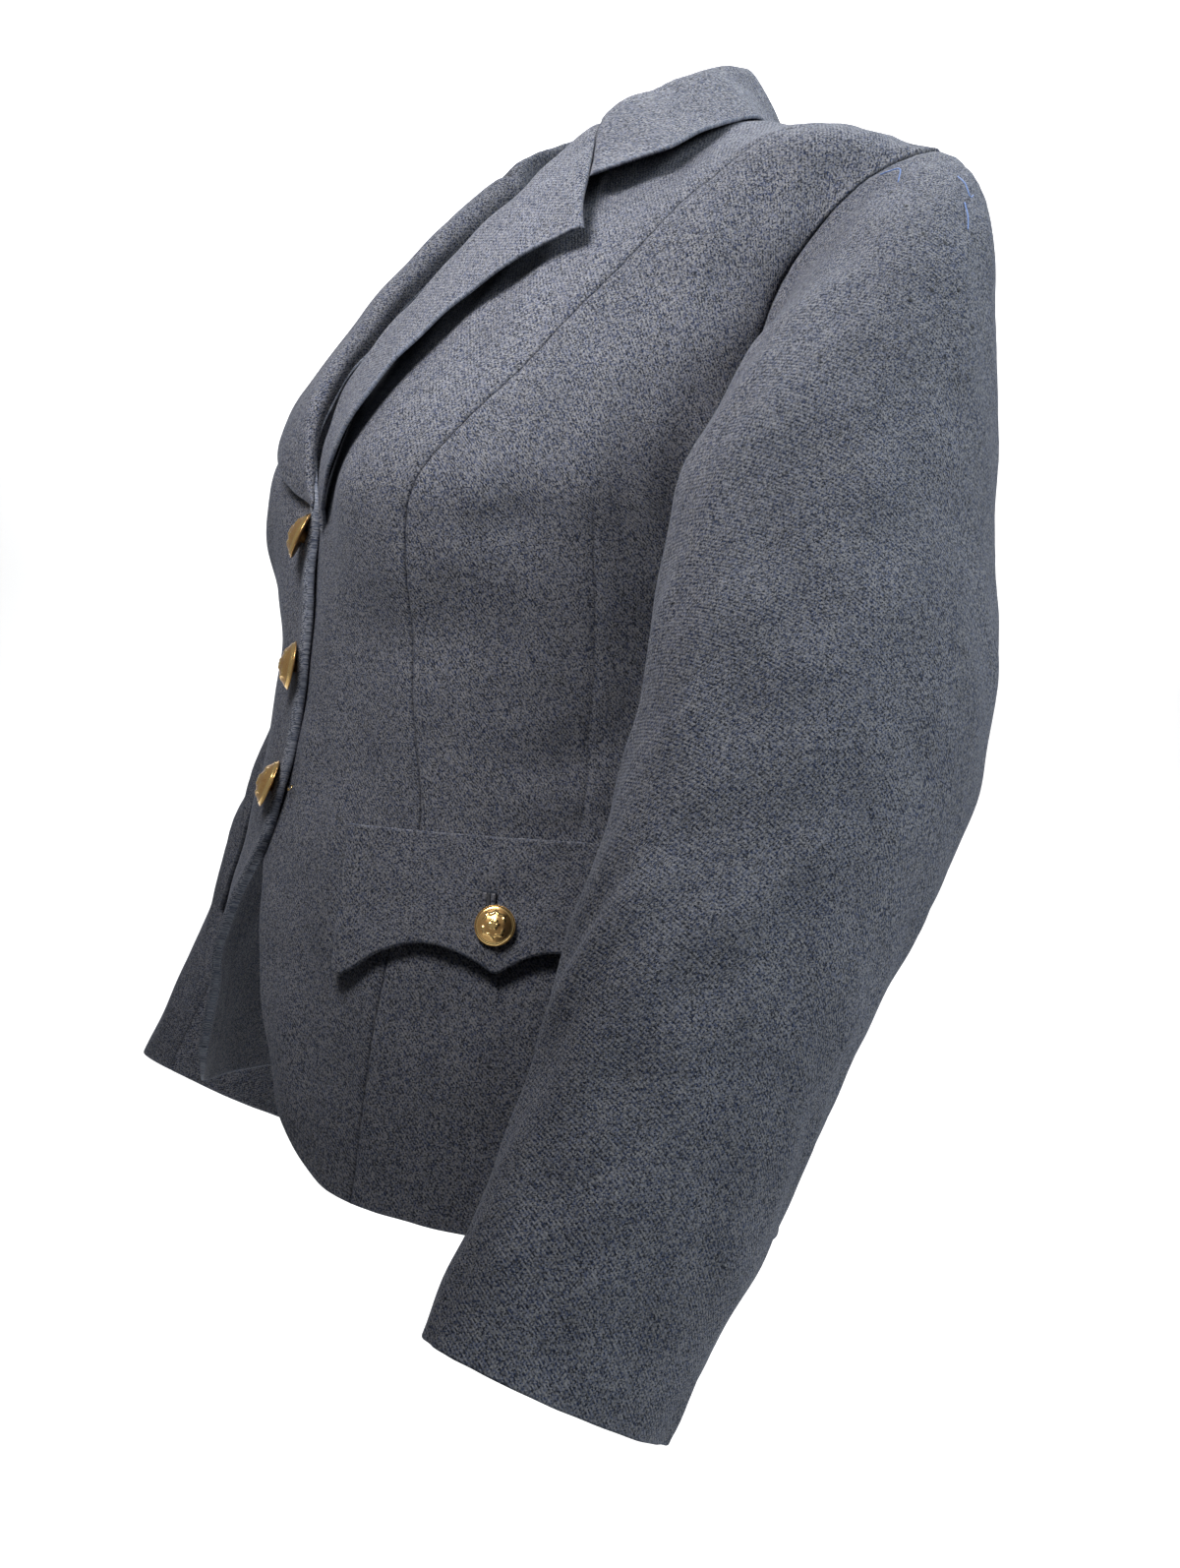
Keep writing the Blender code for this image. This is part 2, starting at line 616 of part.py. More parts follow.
# Lapels and collar
LapelStation = namedtuple("LapelStation", "across bulge rise_root rise_edge")
LAPEL_STATIONS = (
    LapelStation(0.00, 0.0000, 0.03, 0.0),
    LapelStation(0.00, -0.0042, 0.50, 0.0),
    LapelStation(0.03, -0.0028, 0.92, 0.0),
    LapelStation(0.14, 0.0000, 1.04, 0.0),
    LapelStation(0.36, 0.0000, 0.86, 0.16),
    LapelStation(0.68, 0.0000, 0.38, 0.64),
    LapelStation(1.00, 0.0000, 0.0, 1.0),
)
LAPEL_ROOT_Z = (-0.0390, -0.2600)
LAPEL_ROOT_MIN = 0.0190
RIGHT_LAPEL_RISE = 0.0120
LAPEL_ROWS = 12


def lapel_points(body, parts, stations, side):
    """Points of a lapel; parts run gorge to break, stations run root to edge."""
    dense = even_curve(LAPEL_EDGE, 200)
    nearest = LAPEL_ROOT_MIN if side > 0 else 0.0006 - RIGHT_OVERLAP
    lowest = LAPEL_ROOT_Z[1] if side > 0 else LAPEL_ROOT_Z[1] + RIGHT_LAPEL_RISE
    edge = np.stack([np.interp(parts, np.linspace(0, 1, 200), dense[:, k]) for k in range(2)], axis=1)
    edge[:, 0] -= (LAPEL_ROOT_MIN - nearest) * parts**4
    edge[:, 1] += (lowest - LAPEL_ROOT_Z[1]) * parts**4
    root_z = LAPEL_ROOT_Z[0] + (lowest - LAPEL_ROOT_Z[0]) * parts
    roll = np.array(ROLL_LINE)[::-1]
    root_g = np.maximum(np.interp(root_z, roll[:, 1], roll[:, 0]), nearest)
    root = np.stack([root_g, root_z], axis=1)
    root_lift = np.interp(parts, [0.0, 0.5, 0.8, 1.0], [0.0185, 0.0140, 0.0090, 0.0045])
    edge_lift = np.interp(parts, [0.0, 0.15, 0.5, 0.8, 1.0], [0.0100, 0.0120, 0.0120, 0.0080, 0.0036])
    profile = smooth_rows(LAPEL_STATIONS, stations)
    across = profile[:, 0]
    bulge = profile[:, 1] * (root_lift / 0.0150)[:, None]
    girth = root[:, :1] * (1 - across) + edge[:, :1] * across + bulge
    z = root[:, 1:] * (1 - across) + edge[:, 1:] * across
    out = root_lift[:, None] * profile[:, 2] + edge_lift[:, None] * profile[:, 3]
    out = np.maximum(out, 0.0009) + overlap_out(girth, z, side)
    return body.at(girth, z, out)


def build_lapels(body, cloth, collection):
    for side, label in ((1, "left"), (-1, "right")):
        stations = np.linspace(0, len(LAPEL_STATIONS) - 1, 11)
        points = lapel_points(body, np.linspace(0, 1, LAPEL_ROWS), stations, side)
        normals = -grid_normals(points)
        outer = mirrored(points, side)
        inner = mirrored(points - normals * CLOTH, side)
        add_object(f"lapel_{label}", wall_mesh(f"lapel_{label}", outer, inner), cloth, collection)


CollarShape = namedtuple("CollarShape", "root fold edge spread")
COLLAR_SHAPE = (
    CollarShape(1.00, 0.00, 0.00, 0.0),
    CollarShape(0.52, 0.48, 0.00, 0.0),
    CollarShape(0.12, 0.92, -0.04, 0.0),
    CollarShape(0.00, 1.04, -0.04, 0.3),
    CollarShape(-0.06, 0.92, 0.14, 1.0),
    CollarShape(-0.04, 0.55, 0.49, 1.0),
    CollarShape(-0.02, 0.24, 0.78, 0.6),
    CollarShape(0.00, 0.00, 1.00, 0.0),
)
COLLAR_ROUND = 0.0045


def neck_curve(body, count):
    """Points just above the neckline of the body, from the centre back to the gorge."""
    turn = np.linspace(0, 1, 30)
    z = NECK_POINT_Z + (BACK_NECK_Z - NECK_POINT_Z) * np.sin(turn * math.pi / 2)
    back = np.stack([body.side_at(z) + (body.half_at(z) - body.side_at(z)) * turn, z], axis=1)[::-1]
    front = even_curve(front_outline(body, RIGHT_OVERLAP)[:NECK_ROWS], 20)
    line = np.concatenate([back, front[1:]])
    points = body.at(line[:, 0], line[:, 1], 0.0008)
    return even_curve(points, count)


def gorge_row(body, count, side):
    """The lapel's top row from its root to the notch, moved up clear of it, and its normals."""
    stations = np.linspace(0, NOTCH_PART, count)
    rows = lapel_points(body, np.linspace(0, 1, LAPEL_ROWS)[:2], stations, side)
    normals = -grid_normals(rows)[0]
    along = np.gradient(rows[0], axis=0)
    along = along / np.linalg.norm(along, axis=1, keepdims=True)
    step = rows[0] - rows[1]
    step = step - along * np.sum(step * along, axis=1, keepdims=True)
    step = step / np.linalg.norm(step, axis=1, keepdims=True)
    return rows[0] + step * GORGE_GAP, normals


def collar_half(body, columns, rows, side):
    """Half of the collar from the centre back to one gorge, on the wearer's left."""
    stations = np.array(COLLAR_STATIONS)
    line = smooth_rows(stations, np.linspace(0, len(stations) - 1, columns))
    line[0, 0] = 0.0
    line[0, 3] = 0.0
    root = neck_curve(body, columns)
    fold = line[:, 0:3]
    edge = line[:, 3:6]
    outward = edge - root
    outward = outward / np.linalg.norm(outward, axis=1, keepdims=True)
    shape = smooth_rows(COLLAR_SHAPE, np.linspace(0, len(COLLAR_SHAPE) - 1, rows))
    points = (
        root[:, None] * shape[None, :, 0:1]
        + fold[:, None] * shape[None, :, 1:2]
        + edge[:, None] * shape[None, :, 2:3]
        + outward[:, None] * shape[None, :, 3:4] * COLLAR_ROUND
    )
    gorge, normals = gorge_row(body, rows, side)
    change = gorge - points[-1]
    fade = np.clip((np.linspace(0, 1, columns) - 0.60) / 0.40, 0, 1)
    fade = fade * fade * (3 - 2 * fade)
    points = points + fade[:, None, None] * change[None]
    points[0, :, 0] = 0.0
    return points, normals


def collar_grid(body, columns, rows):
    """Collar cloth and its normals from the right gorge round the back to the left gorge."""
    left, left_end = collar_half(body, columns, rows, 1)
    right, right_end = collar_half(body, columns, rows, -1)
    points = np.concatenate([mirrored(right, -1)[:0:-1], left])
    normals = grid_normals(points)
    if normals[columns - 1, -2, 1] < 0:
        normals = -normals
    normals[-1] = left_end
    normals[0] = mirrored(right_end, -1)
    return points, normals


def build_collar(body, cloth, collection):
    points, normals = collar_grid(body, 17, 10)
    mesh = wall_mesh("collar", points, points - normals * CLOTH)
    add_object("collar", mesh, cloth, collection)


# Pocket flaps and buttons
FlapEdge = namedtuple("FlapEdge", "girth z")
FLAP_LOWER = (
    FlapEdge(0.0970, -0.4745),
    FlapEdge(0.1015, -0.4778),
    FlapEdge(0.1065, -0.4755),
    FlapEdge(0.1120, -0.4713),
    FlapEdge(0.1200, -0.4642),
    FlapEdge(0.1290, -0.4598),
    FlapEdge(0.1380, -0.4567),
    FlapEdge(0.1475, -0.4562),
    FlapEdge(0.1575, -0.4577),
    FlapEdge(0.1675, -0.4607),
    FlapEdge(0.1735, -0.4632),
    FlapEdge(0.1790, -0.4654),
    FlapEdge(0.1835, -0.4620),
    FlapEdge(0.1925, -0.4558),
    FlapEdge(0.2025, -0.4533),
    FlapEdge(0.2140, -0.4543),
    FlapEdge(0.2260, -0.4600),
    FlapEdge(0.2370, -0.4690),
    FlapEdge(0.2440, -0.4745),
    FlapEdge(0.2490, -0.4762),
    FlapEdge(0.2530, -0.4730),
)
FLAP_TOP = (FlapEdge(0.0790, -0.4062), FlapEdge(0.2600, -0.3975))
FLAP_STAND_OFF = 0.0045
FLAP_BUTTON_PART = 0.678


def flap_grid(body, columns, rows, out):
    lower = even_curve(FLAP_LOWER, columns)
    upper = even_curve(FLAP_TOP, columns)
    part = np.linspace(0, 1, rows)[:, None, None]
    grid = upper[None] * (1 - part) + lower[None] * part
    lift = out + FLAP_STAND_OFF * np.linspace(0, 1, rows)[:, None] ** 1.4
    return grid, np.broadcast_to(lift, grid.shape[:2])


def build_flaps(body, cloth, collection):
    for side, label in ((1, "left"), (-1, "right")):
        grid, lift = flap_grid(body, 33, 6, 0.0)
        outer = mirrored(body.at(grid[..., 0], grid[..., 1], lift + 0.0005 + FLAP_CLOTH), side)
        inner = mirrored(body.at(grid[..., 0], grid[..., 1], lift + 0.0005), side)
        name = f"pocket_flap_{label}"
        add_object(name, wall_mesh(name, outer, inner), cloth, collection)


def button_mesh(name, radius, dome, shank):
    """Turned dome with a rolled rim and a short shank down to the cloth."""
    profile = (
        (0.0, dome + shank),
        (radius * 0.50, dome * 0.86 + shank),
        (radius * 0.86, dome * 0.48 + shank),
        (radius, dome * 0.16 + shank),
        (radius, dome * 0.02 + shank),
        (radius * 0.94, shank - dome * 0.04),
        (radius * 0.30, shank - dome * 0.04),
        (radius * 0.26, 0.0),
        (0.0, 0.0),
    )
    steps = 16
    points = [(0.0, 0.0, profile[0][1])]
    for radial, height in profile[1:-1]:
        for k in range(steps):
            turn = 2 * math.pi * k / steps
            points.append((radial * math.cos(turn), radial * math.sin(turn), height))
    points.append((0.0, 0.0, 0.0))
    rings = len(profile) - 2
    faces = []
    for k in range(steps):
        nxt = (k + 1) % steps
        faces.append((0, 1 + k, 1 + nxt))
        for ring in range(rings - 1):
            a = 1 + ring * steps
            b = a + steps
            faces.append((a + k, b + k, b + nxt, a + nxt))
        last = 1 + (rings - 1) * steps
        faces.append((last + k, len(points) - 1, last + nxt))
    mesh = bpy.data.meshes.new(name)
    mesh.from_pydata(points, [], faces)
    return mesh


def place_on_body(thing, body, girth, z, out, side):
    """Stand an object on the cloth with its own +Z along the surface normal."""
    here = body.at(girth, z, out)
    normal = body.at(girth, z, out + 0.01) - here
    here = mirrored(here, side)
    normal = mirrored(normal, side)
    thing.location = Vector(here)
    thing.rotation_mode = "QUATERNION"
    thing.rotation_quaternion = Vector(normal).to_track_quat("Z", "Y")


def build_buttons(body, brass, collection):
    big = button_mesh("front_button", BUTTON_RADIUS, BUTTON_DOME, 0.0026)
    big.materials.append(brass)
    for number, z in enumerate(BUTTON_HEIGHTS, start=1):
        thing = bpy.data.objects.new(f"front_button_{number}", big)
        collection.objects.link(thing)
        place_on_body(thing, body, BUTTON_OFFSET, z, RIGHT_RAISE + 0.0006, 1)
    small = button_mesh("pocket_button", POCKET_BUTTON_RADIUS, POCKET_BUTTON_DOME, 0.0022)
    small.materials.append(brass)
    lift = FLAP_STAND_OFF * FLAP_BUTTON_PART**1.4 + 0.0005 + FLAP_CLOTH + 0.0006
    for side, label in ((1, "left"), (-1, "right")):
        thing = bpy.data.objects.new(f"pocket_button_{label}", small)
        collection.objects.link(thing)
        place_on_body(thing, body, FLAP_CENTRE, FLAP_BUTTON_Z, lift, side)


def main():
    clear_file()
    collection = bpy.data.collections.new("uniform_jacket")
    bpy.context.scene.collection.children.link(collection)
    cloth = make_material("jacket_cloth", (0.075, 0.085, 0.105), 0.92)
    brass = make_material("gilt_brass", (0.78, 0.56, 0.22), 0.30, 1.0)
    body = BodyForm(BODY_SECTIONS)
    build_body(body, cloth, collection)
    build_sleeves(body, cloth, collection)
    build_lapels(body, cloth, collection)
    build_collar(body, cloth, collection)
    build_flaps(body, cloth, collection)
    build_buttons(body, brass, collection)


if __name__ == "__main__":
    main()
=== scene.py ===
"""Looks of a single-breasted uniform jacket, worn in shape and empty.

Every cut-and-sewn piece is a thin shell of twill laid on its solid's form, with soft creases,
pressed edges and sewn seams. Sizes are in metres; +Z is up and the front faces -Y.
"""

import logging
import math
from collections.abc import Callable, Sequence
from dataclasses import dataclass, field
from enum import Enum

import bpy
import numpy as np
from bpy.types import Material, Mesh, Node, NodeSocket, NodeTree, Object
from mathutils import Matrix, Vector


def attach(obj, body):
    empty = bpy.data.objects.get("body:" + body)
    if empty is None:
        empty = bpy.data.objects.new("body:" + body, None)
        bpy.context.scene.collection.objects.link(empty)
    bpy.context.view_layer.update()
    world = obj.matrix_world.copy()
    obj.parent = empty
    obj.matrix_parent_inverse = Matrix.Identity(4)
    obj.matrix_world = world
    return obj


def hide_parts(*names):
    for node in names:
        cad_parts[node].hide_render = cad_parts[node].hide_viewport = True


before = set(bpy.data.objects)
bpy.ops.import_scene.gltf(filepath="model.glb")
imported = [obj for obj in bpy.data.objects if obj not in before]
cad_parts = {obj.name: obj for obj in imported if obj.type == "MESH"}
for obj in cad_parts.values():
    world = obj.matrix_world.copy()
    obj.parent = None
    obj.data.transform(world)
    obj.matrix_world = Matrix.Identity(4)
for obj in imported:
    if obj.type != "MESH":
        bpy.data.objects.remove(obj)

Array = np.ndarray
Pair = tuple[float, float]
Triple = tuple[float, float, float]
OverCloth = Callable[[Array, Array], Array]
# distances that each point keeps from seams, folds and lines of painted shade, and the distance that stands
# for out of reach
MARKS = ("seam_distance", "fold_distance", "dart_offset")
FAR = 0.05

logging.basicConfig(level=logging.INFO, format="%(message)s")
log = logging.getLogger("jacket")
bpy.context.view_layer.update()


class Side(Enum):
    """Wearer's side of a piece; the value mirrors X."""

    LEFT = 1
    RIGHT = -1

    @property
    def label(self) -> str:
        """Name ending of pieces on this side."""
        return self.name.lower()

    @property
    def mirror(self) -> np.ndarray:
        """Factors that carry a point of the wearer's left to this side."""
        return np.array([self.value, 1.0, 1.0])


class Edge(Enum):
    """How one border of a cloth piece is finished."""

    SEAM = "sewn to its neighbour"
    FOLD = "turned and pressed"
    TUCKED = "hidden under another piece"


def smooth_rows(rows: Sequence | Array, at: Sequence | Array | float) -> Array:
    """Pass a smooth curve through table rows.

    Args:
        rows: Table, one row of numbers for each point.
        at: Row positions, counted from 0.

    Returns:
        One row of numbers for each position.
    """
    rows = np.asarray(rows, float)
    last = len(rows) - 1
    at = np.clip(np.atleast_1d(np.asarray(at, float)), 0.0, last - 1e-9)
    low = at.astype(int)
    part = (at - low)[:, None]
    p1 = rows[low]
    p2 = rows[low + 1]
    p0 = np.where((low == 0)[:, None], 2 * p1 - p2, rows[np.maximum(low - 1, 0)])
    p3 = np.where((low + 2 > last)[:, None], 2 * p2 - p1, rows[np.minimum(low + 2, last)])
    linear = (p2 - p0) * part
    square = (2 * p0 - 5 * p1 + 4 * p2 - p3) * part**2
    cube = (3 * p1 - p0 - 3 * p2 + p3) * part**3
    return 0.5 * (2 * p1 + linear + square + cube)


def even_curve(rows: Sequence | Array, count: int) -> Array:
    """Points spaced evenly along the smooth curve through rows.

    Args:
        rows: Points that the curve passes through.
        count: How many points to return.

    Returns:
        Array of count points.
    """
    dense = smooth_rows(rows, np.linspace(0, len(rows) - 1, 600))
    run = run_along(dense)
    want = np.linspace(0, run[-1], count)
    return np.stack([np.interp(want, run, dense[:, k]) for k in range(dense.shape[1])], axis=1)


def ease(value: Array) -> Array:
    """Smooth step from 0 to 1."""
    value = np.clip(value, 0, 1)
    return value * value * (3 - 2 * value)


def bell(value: Array | float, at: float, wide: float) -> Array:
    """Bell curve of height 1 about a place."""
    return np.exp(-(((value - at) / wide) ** 2))


def unit(vectors: Array) -> Array:
    """The same directions at length 1."""
    return vectors / np.linalg.norm(vectors, axis=-1, keepdims=True)


def run_along(points: Array, axis: int = 0) -> Array:
    """Distance from the first points along one axis of a curve or grid."""
    steps = np.linalg.norm(np.diff(points, axis=axis), axis=-1)
    return np.insert(np.cumsum(steps, axis=axis), 0, 0.0, axis=axis)


def straight(start: Array, end: Array, count: int) -> Array:
    """Points spaced evenly from start to end."""
    part = np.linspace(0, 1, count)[:, None]
    return start * (1 - part) + end * part


def patch(first: Array, second: Array, top: Array, bottom: Array, fade: float = 1.6) -> Array:
    """Fill a grid between four edge curves.

    Args:
        first: Curve down one side.
        second: Curve down the other side, with as many points.
        top: Curve across the top.
        bottom: Curve across the bottom, with as many points as the top.
        fade: How quickly the top and bottom shapes die away.

    Returns:
        Grid of points, rows down and columns across.
    """
    rows = len(first)
    columns = len(top)
    u = np.linspace(0, 1, columns)[None, :, None]
    v = np.linspace(0, 1, rows)[:, None, None]
    across = first[:, None] * (1 - u) + second[:, None] * u
    line = u[0]
    top = top + (first[0] - top[0])[None] * (1 - line) + (second[0] - top[-1])[None] * line
    bottom = bottom + (first[-1] - bottom[0])[None] * (1 - line) + (second[-1] - bottom[-1])[None] * line
    change_top = (top - across[0])[None]
    change_bottom = (bottom - across[-1])[None]
    return across + change_top * (1 - v) ** fade + change_bottom * v**fade


def grid_normals(points: Array) -> Array:
    """Unit normals of a point grid, from its rows and columns."""
    normals = np.cross(np.gradient(points, axis=1), np.gradient(points, axis=0))
    return normals / np.maximum(np.linalg.norm(normals, axis=2, keepdims=True), 1e-12)


@dataclass(frozen=True)
class BodyForm:
    """Outer face of the body cloth, read by girth from the centre front and height."""

    bust: tuple[float, float, float, float, float] = (0.085, -0.236, 0.052, 0.060, 0.021)
    hollow: tuple[float, float, float, float, float] = (0.118, -0.055, 0.040, 0.030, 0.015)
    rows: int = 321
    columns: int = 321
    angles: int = 961
    # height, half width, front y, side y, back y, front fullness, back fullness
    sections: tuple[tuple[float, ...], ...] = (
        (-0.615, 0.207, -0.187, -0.012, 0.112, 2.10, 2.2),
        (-0.560, 0.202, -0.183, -0.010, 0.112, 2.10, 2.2),
        (-0.490, 0.191, -0.179, -0.006, 0.107, 2.10, 2.2),
        (-0.430, 0.177, -0.171, -0.002, 0.095, 2.10, 2.2),
        (-0.375, 0.166, -0.163, 0.001, 0.086, 2.10, 2.2),
        (-0.320, 0.165, -0.160, 0.005, 0.092, 2.15, 2.2),
        (-0.265, 0.173, -0.161, 0.011, 0.108, 2.20, 2.2),
        (-0.225, 0.181, -0.158, 0.017, 0.119, 2.20, 2.2),
        (-0.180, 0.185, -0.145, 0.026, 0.127, 2.20, 2.2),
        (-0.135, 0.190, -0.121, 0.036, 0.131, 2.20, 2.2),
        (-0.100, 0.197, -0.096, 0.045, 0.129, 2.20, 2.2),
        (-0.075, 0.203, -0.076, 0.052, 0.122, 2.20, 2.1),
        (-0.055, 0.206, -0.058, 0.060, 0.113, 2.20, 2.0),
        (-0.0430, 0.184, -0.045, 0.053, 0.103, 2.20, 2.0),
        (-0.0345, 0.155, -0.037, 0.043, 0.094, 2.20, 2.0),
        (-0.0280, 0.125, -0.031, 0.032, 0.087, 2.20, 2.0),
        (-0.0225, 0.098, -0.025, 0.024, 0.080, 2.20, 2.1),
        (-0.0155, 0.080, -0.019, 0.020, 0.072, 2.20, 2.2),
        (-0.0060, 0.067, -0.012, 0.020, 0.065, 2.20, 2.2),
        (0.0060, 0.058, -0.005, 0.022, 0.059, 2.20, 2.2),
    )
    z: Array = field(init=False, repr=False)
    points: Array = field(init=False, repr=False)
    normals: Array = field(init=False, repr=False)
    half: Array = field(init=False, repr=False)
    side: Array = field(init=False, repr=False)

    def __post_init__(self) -> None:
        """Work out the surface once, as a table of rings."""
        table = smooth_rows(self.sections, np.linspace(0, len(self.sections) - 1, self.rows))
        angle = np.linspace(-math.pi, math.pi, self.angles)
        sine = np.sin(angle)
        cosine = np.cos(angle)
        points = np.zeros((self.rows, self.columns, 3))
        half = np.zeros(self.rows)
        side = np.zeros(self.rows)
        for row, (z, wide, front_y, side_y, back_y, front_power, back_power) in enumerate(table):
            power = np.where(cosine > 0, front_power, back_power)
            x = wide * np.sign(sine) * np.abs(sine) ** (2 / power)
            depth = np.where(cosine > 0, front_y - side_y, back_y - side_y)
            y = side_y + depth * np.abs(cosine) ** (2 / power)
            facing = np.clip(cosine * 3, 0, 1)
            for (at_x, at_z, across, tall, lift), sign in ((self.bust, -1), (self.hollow, 1)):
                spread = ((np.abs(x) - at_x) / across) ** 2 + ((z - at_z) / tall) ** 2
                y = y + sign * lift * np.exp(-spread) * facing
            run = np.concatenate([[0.0], np.cumsum(np.hypot(np.diff(x), np.diff(y)))])
            want = np.linspace(0, run[-1], self.columns)
            points[row, :, 0] = np.interp(want, run, x)
            points[row, :, 1] = np.interp(want, run, y)
            points[row, :, 2] = z
            half[row] = run[-1] / 2
            side[row] = run[(self.angles - 1) * 3 // 4] - run[self.angles // 2]
        for name, value in (("z", table[:, 0]), ("points", points), ("half", half), ("side", side)):
            object.__setattr__(self, name, value)
        object.__setattr__(self, "normals", grid_normals(points))

    def side_at(self, z: Array | float) -> Array:
        """Girth of the side line at height z."""
        return np.interp(z, self.z, self.side)

    def half_at(self, z: Array | float) -> Array:
        """Girth of the centre back at height z."""
        return np.interp(z, self.z, self.half)

    def at(self, girth: Array | float, z: Array | float, out: Array | float = 0.0) -> Array:
        """Points on the cloth, moved out along its normal.

        Args:
            girth: Distance round from the centre front.
            z: Height.
            out: Distance off the surface.

        Returns:
            Points, one for each pair of girth and height.
        """
        girth, z, out = np.broadcast_arrays(*(np.asarray(value, float) for value in (girth, z, out)))
        row = np.clip(np.interp(z, self.z, np.arange(self.rows)), 0, self.rows - 1.0001)
        half = np.interp(row, np.arange(self.rows), self.half)
        column = np.clip((girth / half + 1) / 2 * (self.columns - 1), 0, self.columns - 1.0001)
        i = row.astype(int)
        j = column.astype(int)
        fi = (row - i)[..., None]
        fj = (column - j)[..., None]

        def mix(grid: Array) -> Array:
            """Read the table between its rows and columns."""
            low = grid[i, j] * (1 - fj) + grid[i, j + 1] * fj
            high = grid[i + 1, j] * (1 - fj) + grid[i + 1, j + 1] * fj
            return low * (1 - fi) + high * fi

        return mix(self.points) + unit(mix(self.normals)) * out[..., None]


@dataclass(frozen=True)
class JacketCut:
    """Seam lines, edges and thicknesses of the jacket, as (girth, z) curves on the body form."""

    body: BodyForm
    cloth: float = 0.0022
    faced_edge: float = 0.0044
    seam_gap: float = 0.00012
    right_overlap: float = 0.0130
    left_overlap: float = 0.0160
    right_raise: float = 0.0052
    lap_reach: Pair = (0.062, 0.042)
    lap_start: Pair = (0.045, 0.06)
    button_heights: Triple = (-0.2634, -0.3310, -0.3950)
    break_z: float = -0.245
    hem_side_z: float = -0.588
    hem_back_z: float = -0.596
    shoulder_tip_z: float = -0.0545
    neck_point_z: float = -0.0195
    back_neck_z: float = -0.0010
    princess_top_z: float = -0.0350
    back_yoke_z: float = -0.0750
    armhole: tuple[float, float, float, float] = (-0.0545, -0.2300, 0.0480, 0.0420)
    princess: tuple[Pair, ...] = (
        (0.1760, -0.0480), (0.1650, -0.0620), (0.1562, -0.0826), (0.1517, -0.1186), (0.1389, -0.1615),
        (0.1319, -0.1878), (0.1220, -0.2138), (0.1114, -0.2386), (0.1050, -0.2600), (0.0990, -0.2989),
        (0.0996, -0.3362), (0.1056, -0.3649), (0.1180, -0.4029), (0.1215, -0.4400), (0.1235, -0.4722),
        (0.1255, -0.5009), (0.1275, -0.5272), (0.1309, -0.5815),
    )
    roll_line: tuple[Pair, ...] = (
        (0.0570, -0.0380), (0.0585, -0.0600), (0.0580, -0.0800), (0.0540, -0.1000), (0.0470, -0.1260),
        (0.0330, -0.1600), (0.0150, -0.2000), (0.0050, -0.2220), (-0.0040, -0.2360), (-0.0130, -0.2450),
    )
    cutaway: tuple[Pair, ...] = (
        (-0.0090, -0.4200), (0.0000, -0.4350), (0.0090, -0.4480), (0.0250, -0.4770), (0.0430, -0.5050),
        (0.0600, -0.5300), (0.0740, -0.5500),
    )
    hem_front: tuple[Pair, ...] = (
        (0.0740, -0.5500), (0.0920, -0.5670), (0.1120, -0.5770), (0.1309, -0.5815),
    )
    lapel_edge: tuple[Pair, ...] = (
        (0.1240, -0.1110), (0.1120, -0.1165), (0.1030, -0.1240), (0.0920, -0.1360), (0.0830, -0.1480),
        (0.0770, -0.1600), (0.0720, -0.1730), (0.0680, -0.1870), (0.0640, -0.2010), (0.0570, -0.2170),
        (0.0470, -0.2330), (0.0340, -0.2480), (0.0200, -0.2600),
    )

    def overlap(self, side: Side) -> float:
        """How far a front reaches past the centre front."""
        return self.left_overlap if side is Side.LEFT else self.right_overlap

    def overlap_out(self, girth: Array, z: Array, side: Side) -> Array:
        """How far a front stands out where the right one laps over.

        Args:
            girth: Distances round from the centre front.
            z: Heights.
            side: Wearer's side.

        Returns:
            Distances off the body form.
        """
        if side is Side.LEFT:
            return np.zeros_like(girth)
        near = ease((self.lap_reach[0] - girth) / self.lap_reach[1])
        low = ease((z - (self.break_z + self.lap_start[0])) / self.lap_start[1])
        return self.right_raise * near * (1 - low)

    def shift_square(self, curve: Array, amount: float) -> Array:
        """Move a (girth, z) curve sideways over the cloth by a true distance, toward more girth."""
        step = 0.0002
        here = self.body.at(curve[:, 0], curve[:, 1])
        by_girth = (self.body.at(curve[:, 0] + step, curve[:, 1]) - here) / step
        by_z = (self.body.at(curve[:, 0], curve[:, 1] + step) - here) / step
        aside = np.cross(np.cross(by_girth, by_z), np.gradient(here, axis=0))
        aside = unit(aside)
        aside = aside * np.sign(np.sum(aside * by_girth, axis=1, keepdims=True)) * amount
        moved = curve.copy()
        for row, columns in enumerate(np.stack([by_girth, by_z], axis=2)):
            moved[row] += np.linalg.lstsq(columns, aside[row], rcond=None)[0]
        return moved

    def princess_curve(self, rows: int, aside: float) -> Array:
        """The princess seam from the shoulder seam to the hem, set to one side of the line."""
        top = (float(self.body.side_at(self.princess_top_z)) - 0.0006, self.princess_top_z)
        return self.shift_square(even_curve((top,) + self.princess, rows), aside)

    def front_outline(self, overlap: float, rows: tuple[int, int, int, int]) -> Array:
        """The inner edge of a front: neckline, roll line, closing edge and cutaway.

        Args:
            overlap: How far the closing edge passes the centre front.
            rows: Points on each of the four stretches.

        Returns:
            (girth, z) curve from the shoulder down to the hem.
        """
        corner = (float(self.body.side_at(self.neck_point_z)) - self.seam_gap / 2, self.neck_point_z)
        neck = even_curve((corner, (0.0900, -0.0235), (0.0730, -0.0320), self.roll_line[0]), rows[0])
        roll = even_curve(self.roll_line[:-1] + ((-overlap, self.break_z),), rows[1])
        edge = np.array([(-overlap, z) for z in np.linspace(self.break_z, -0.400, rows[2])])
        away = even_curve(((-overlap, -0.400),) + self.cutaway, rows[3])
        return np.concatenate([neck, roll[1:], edge[1:], away[1:]])

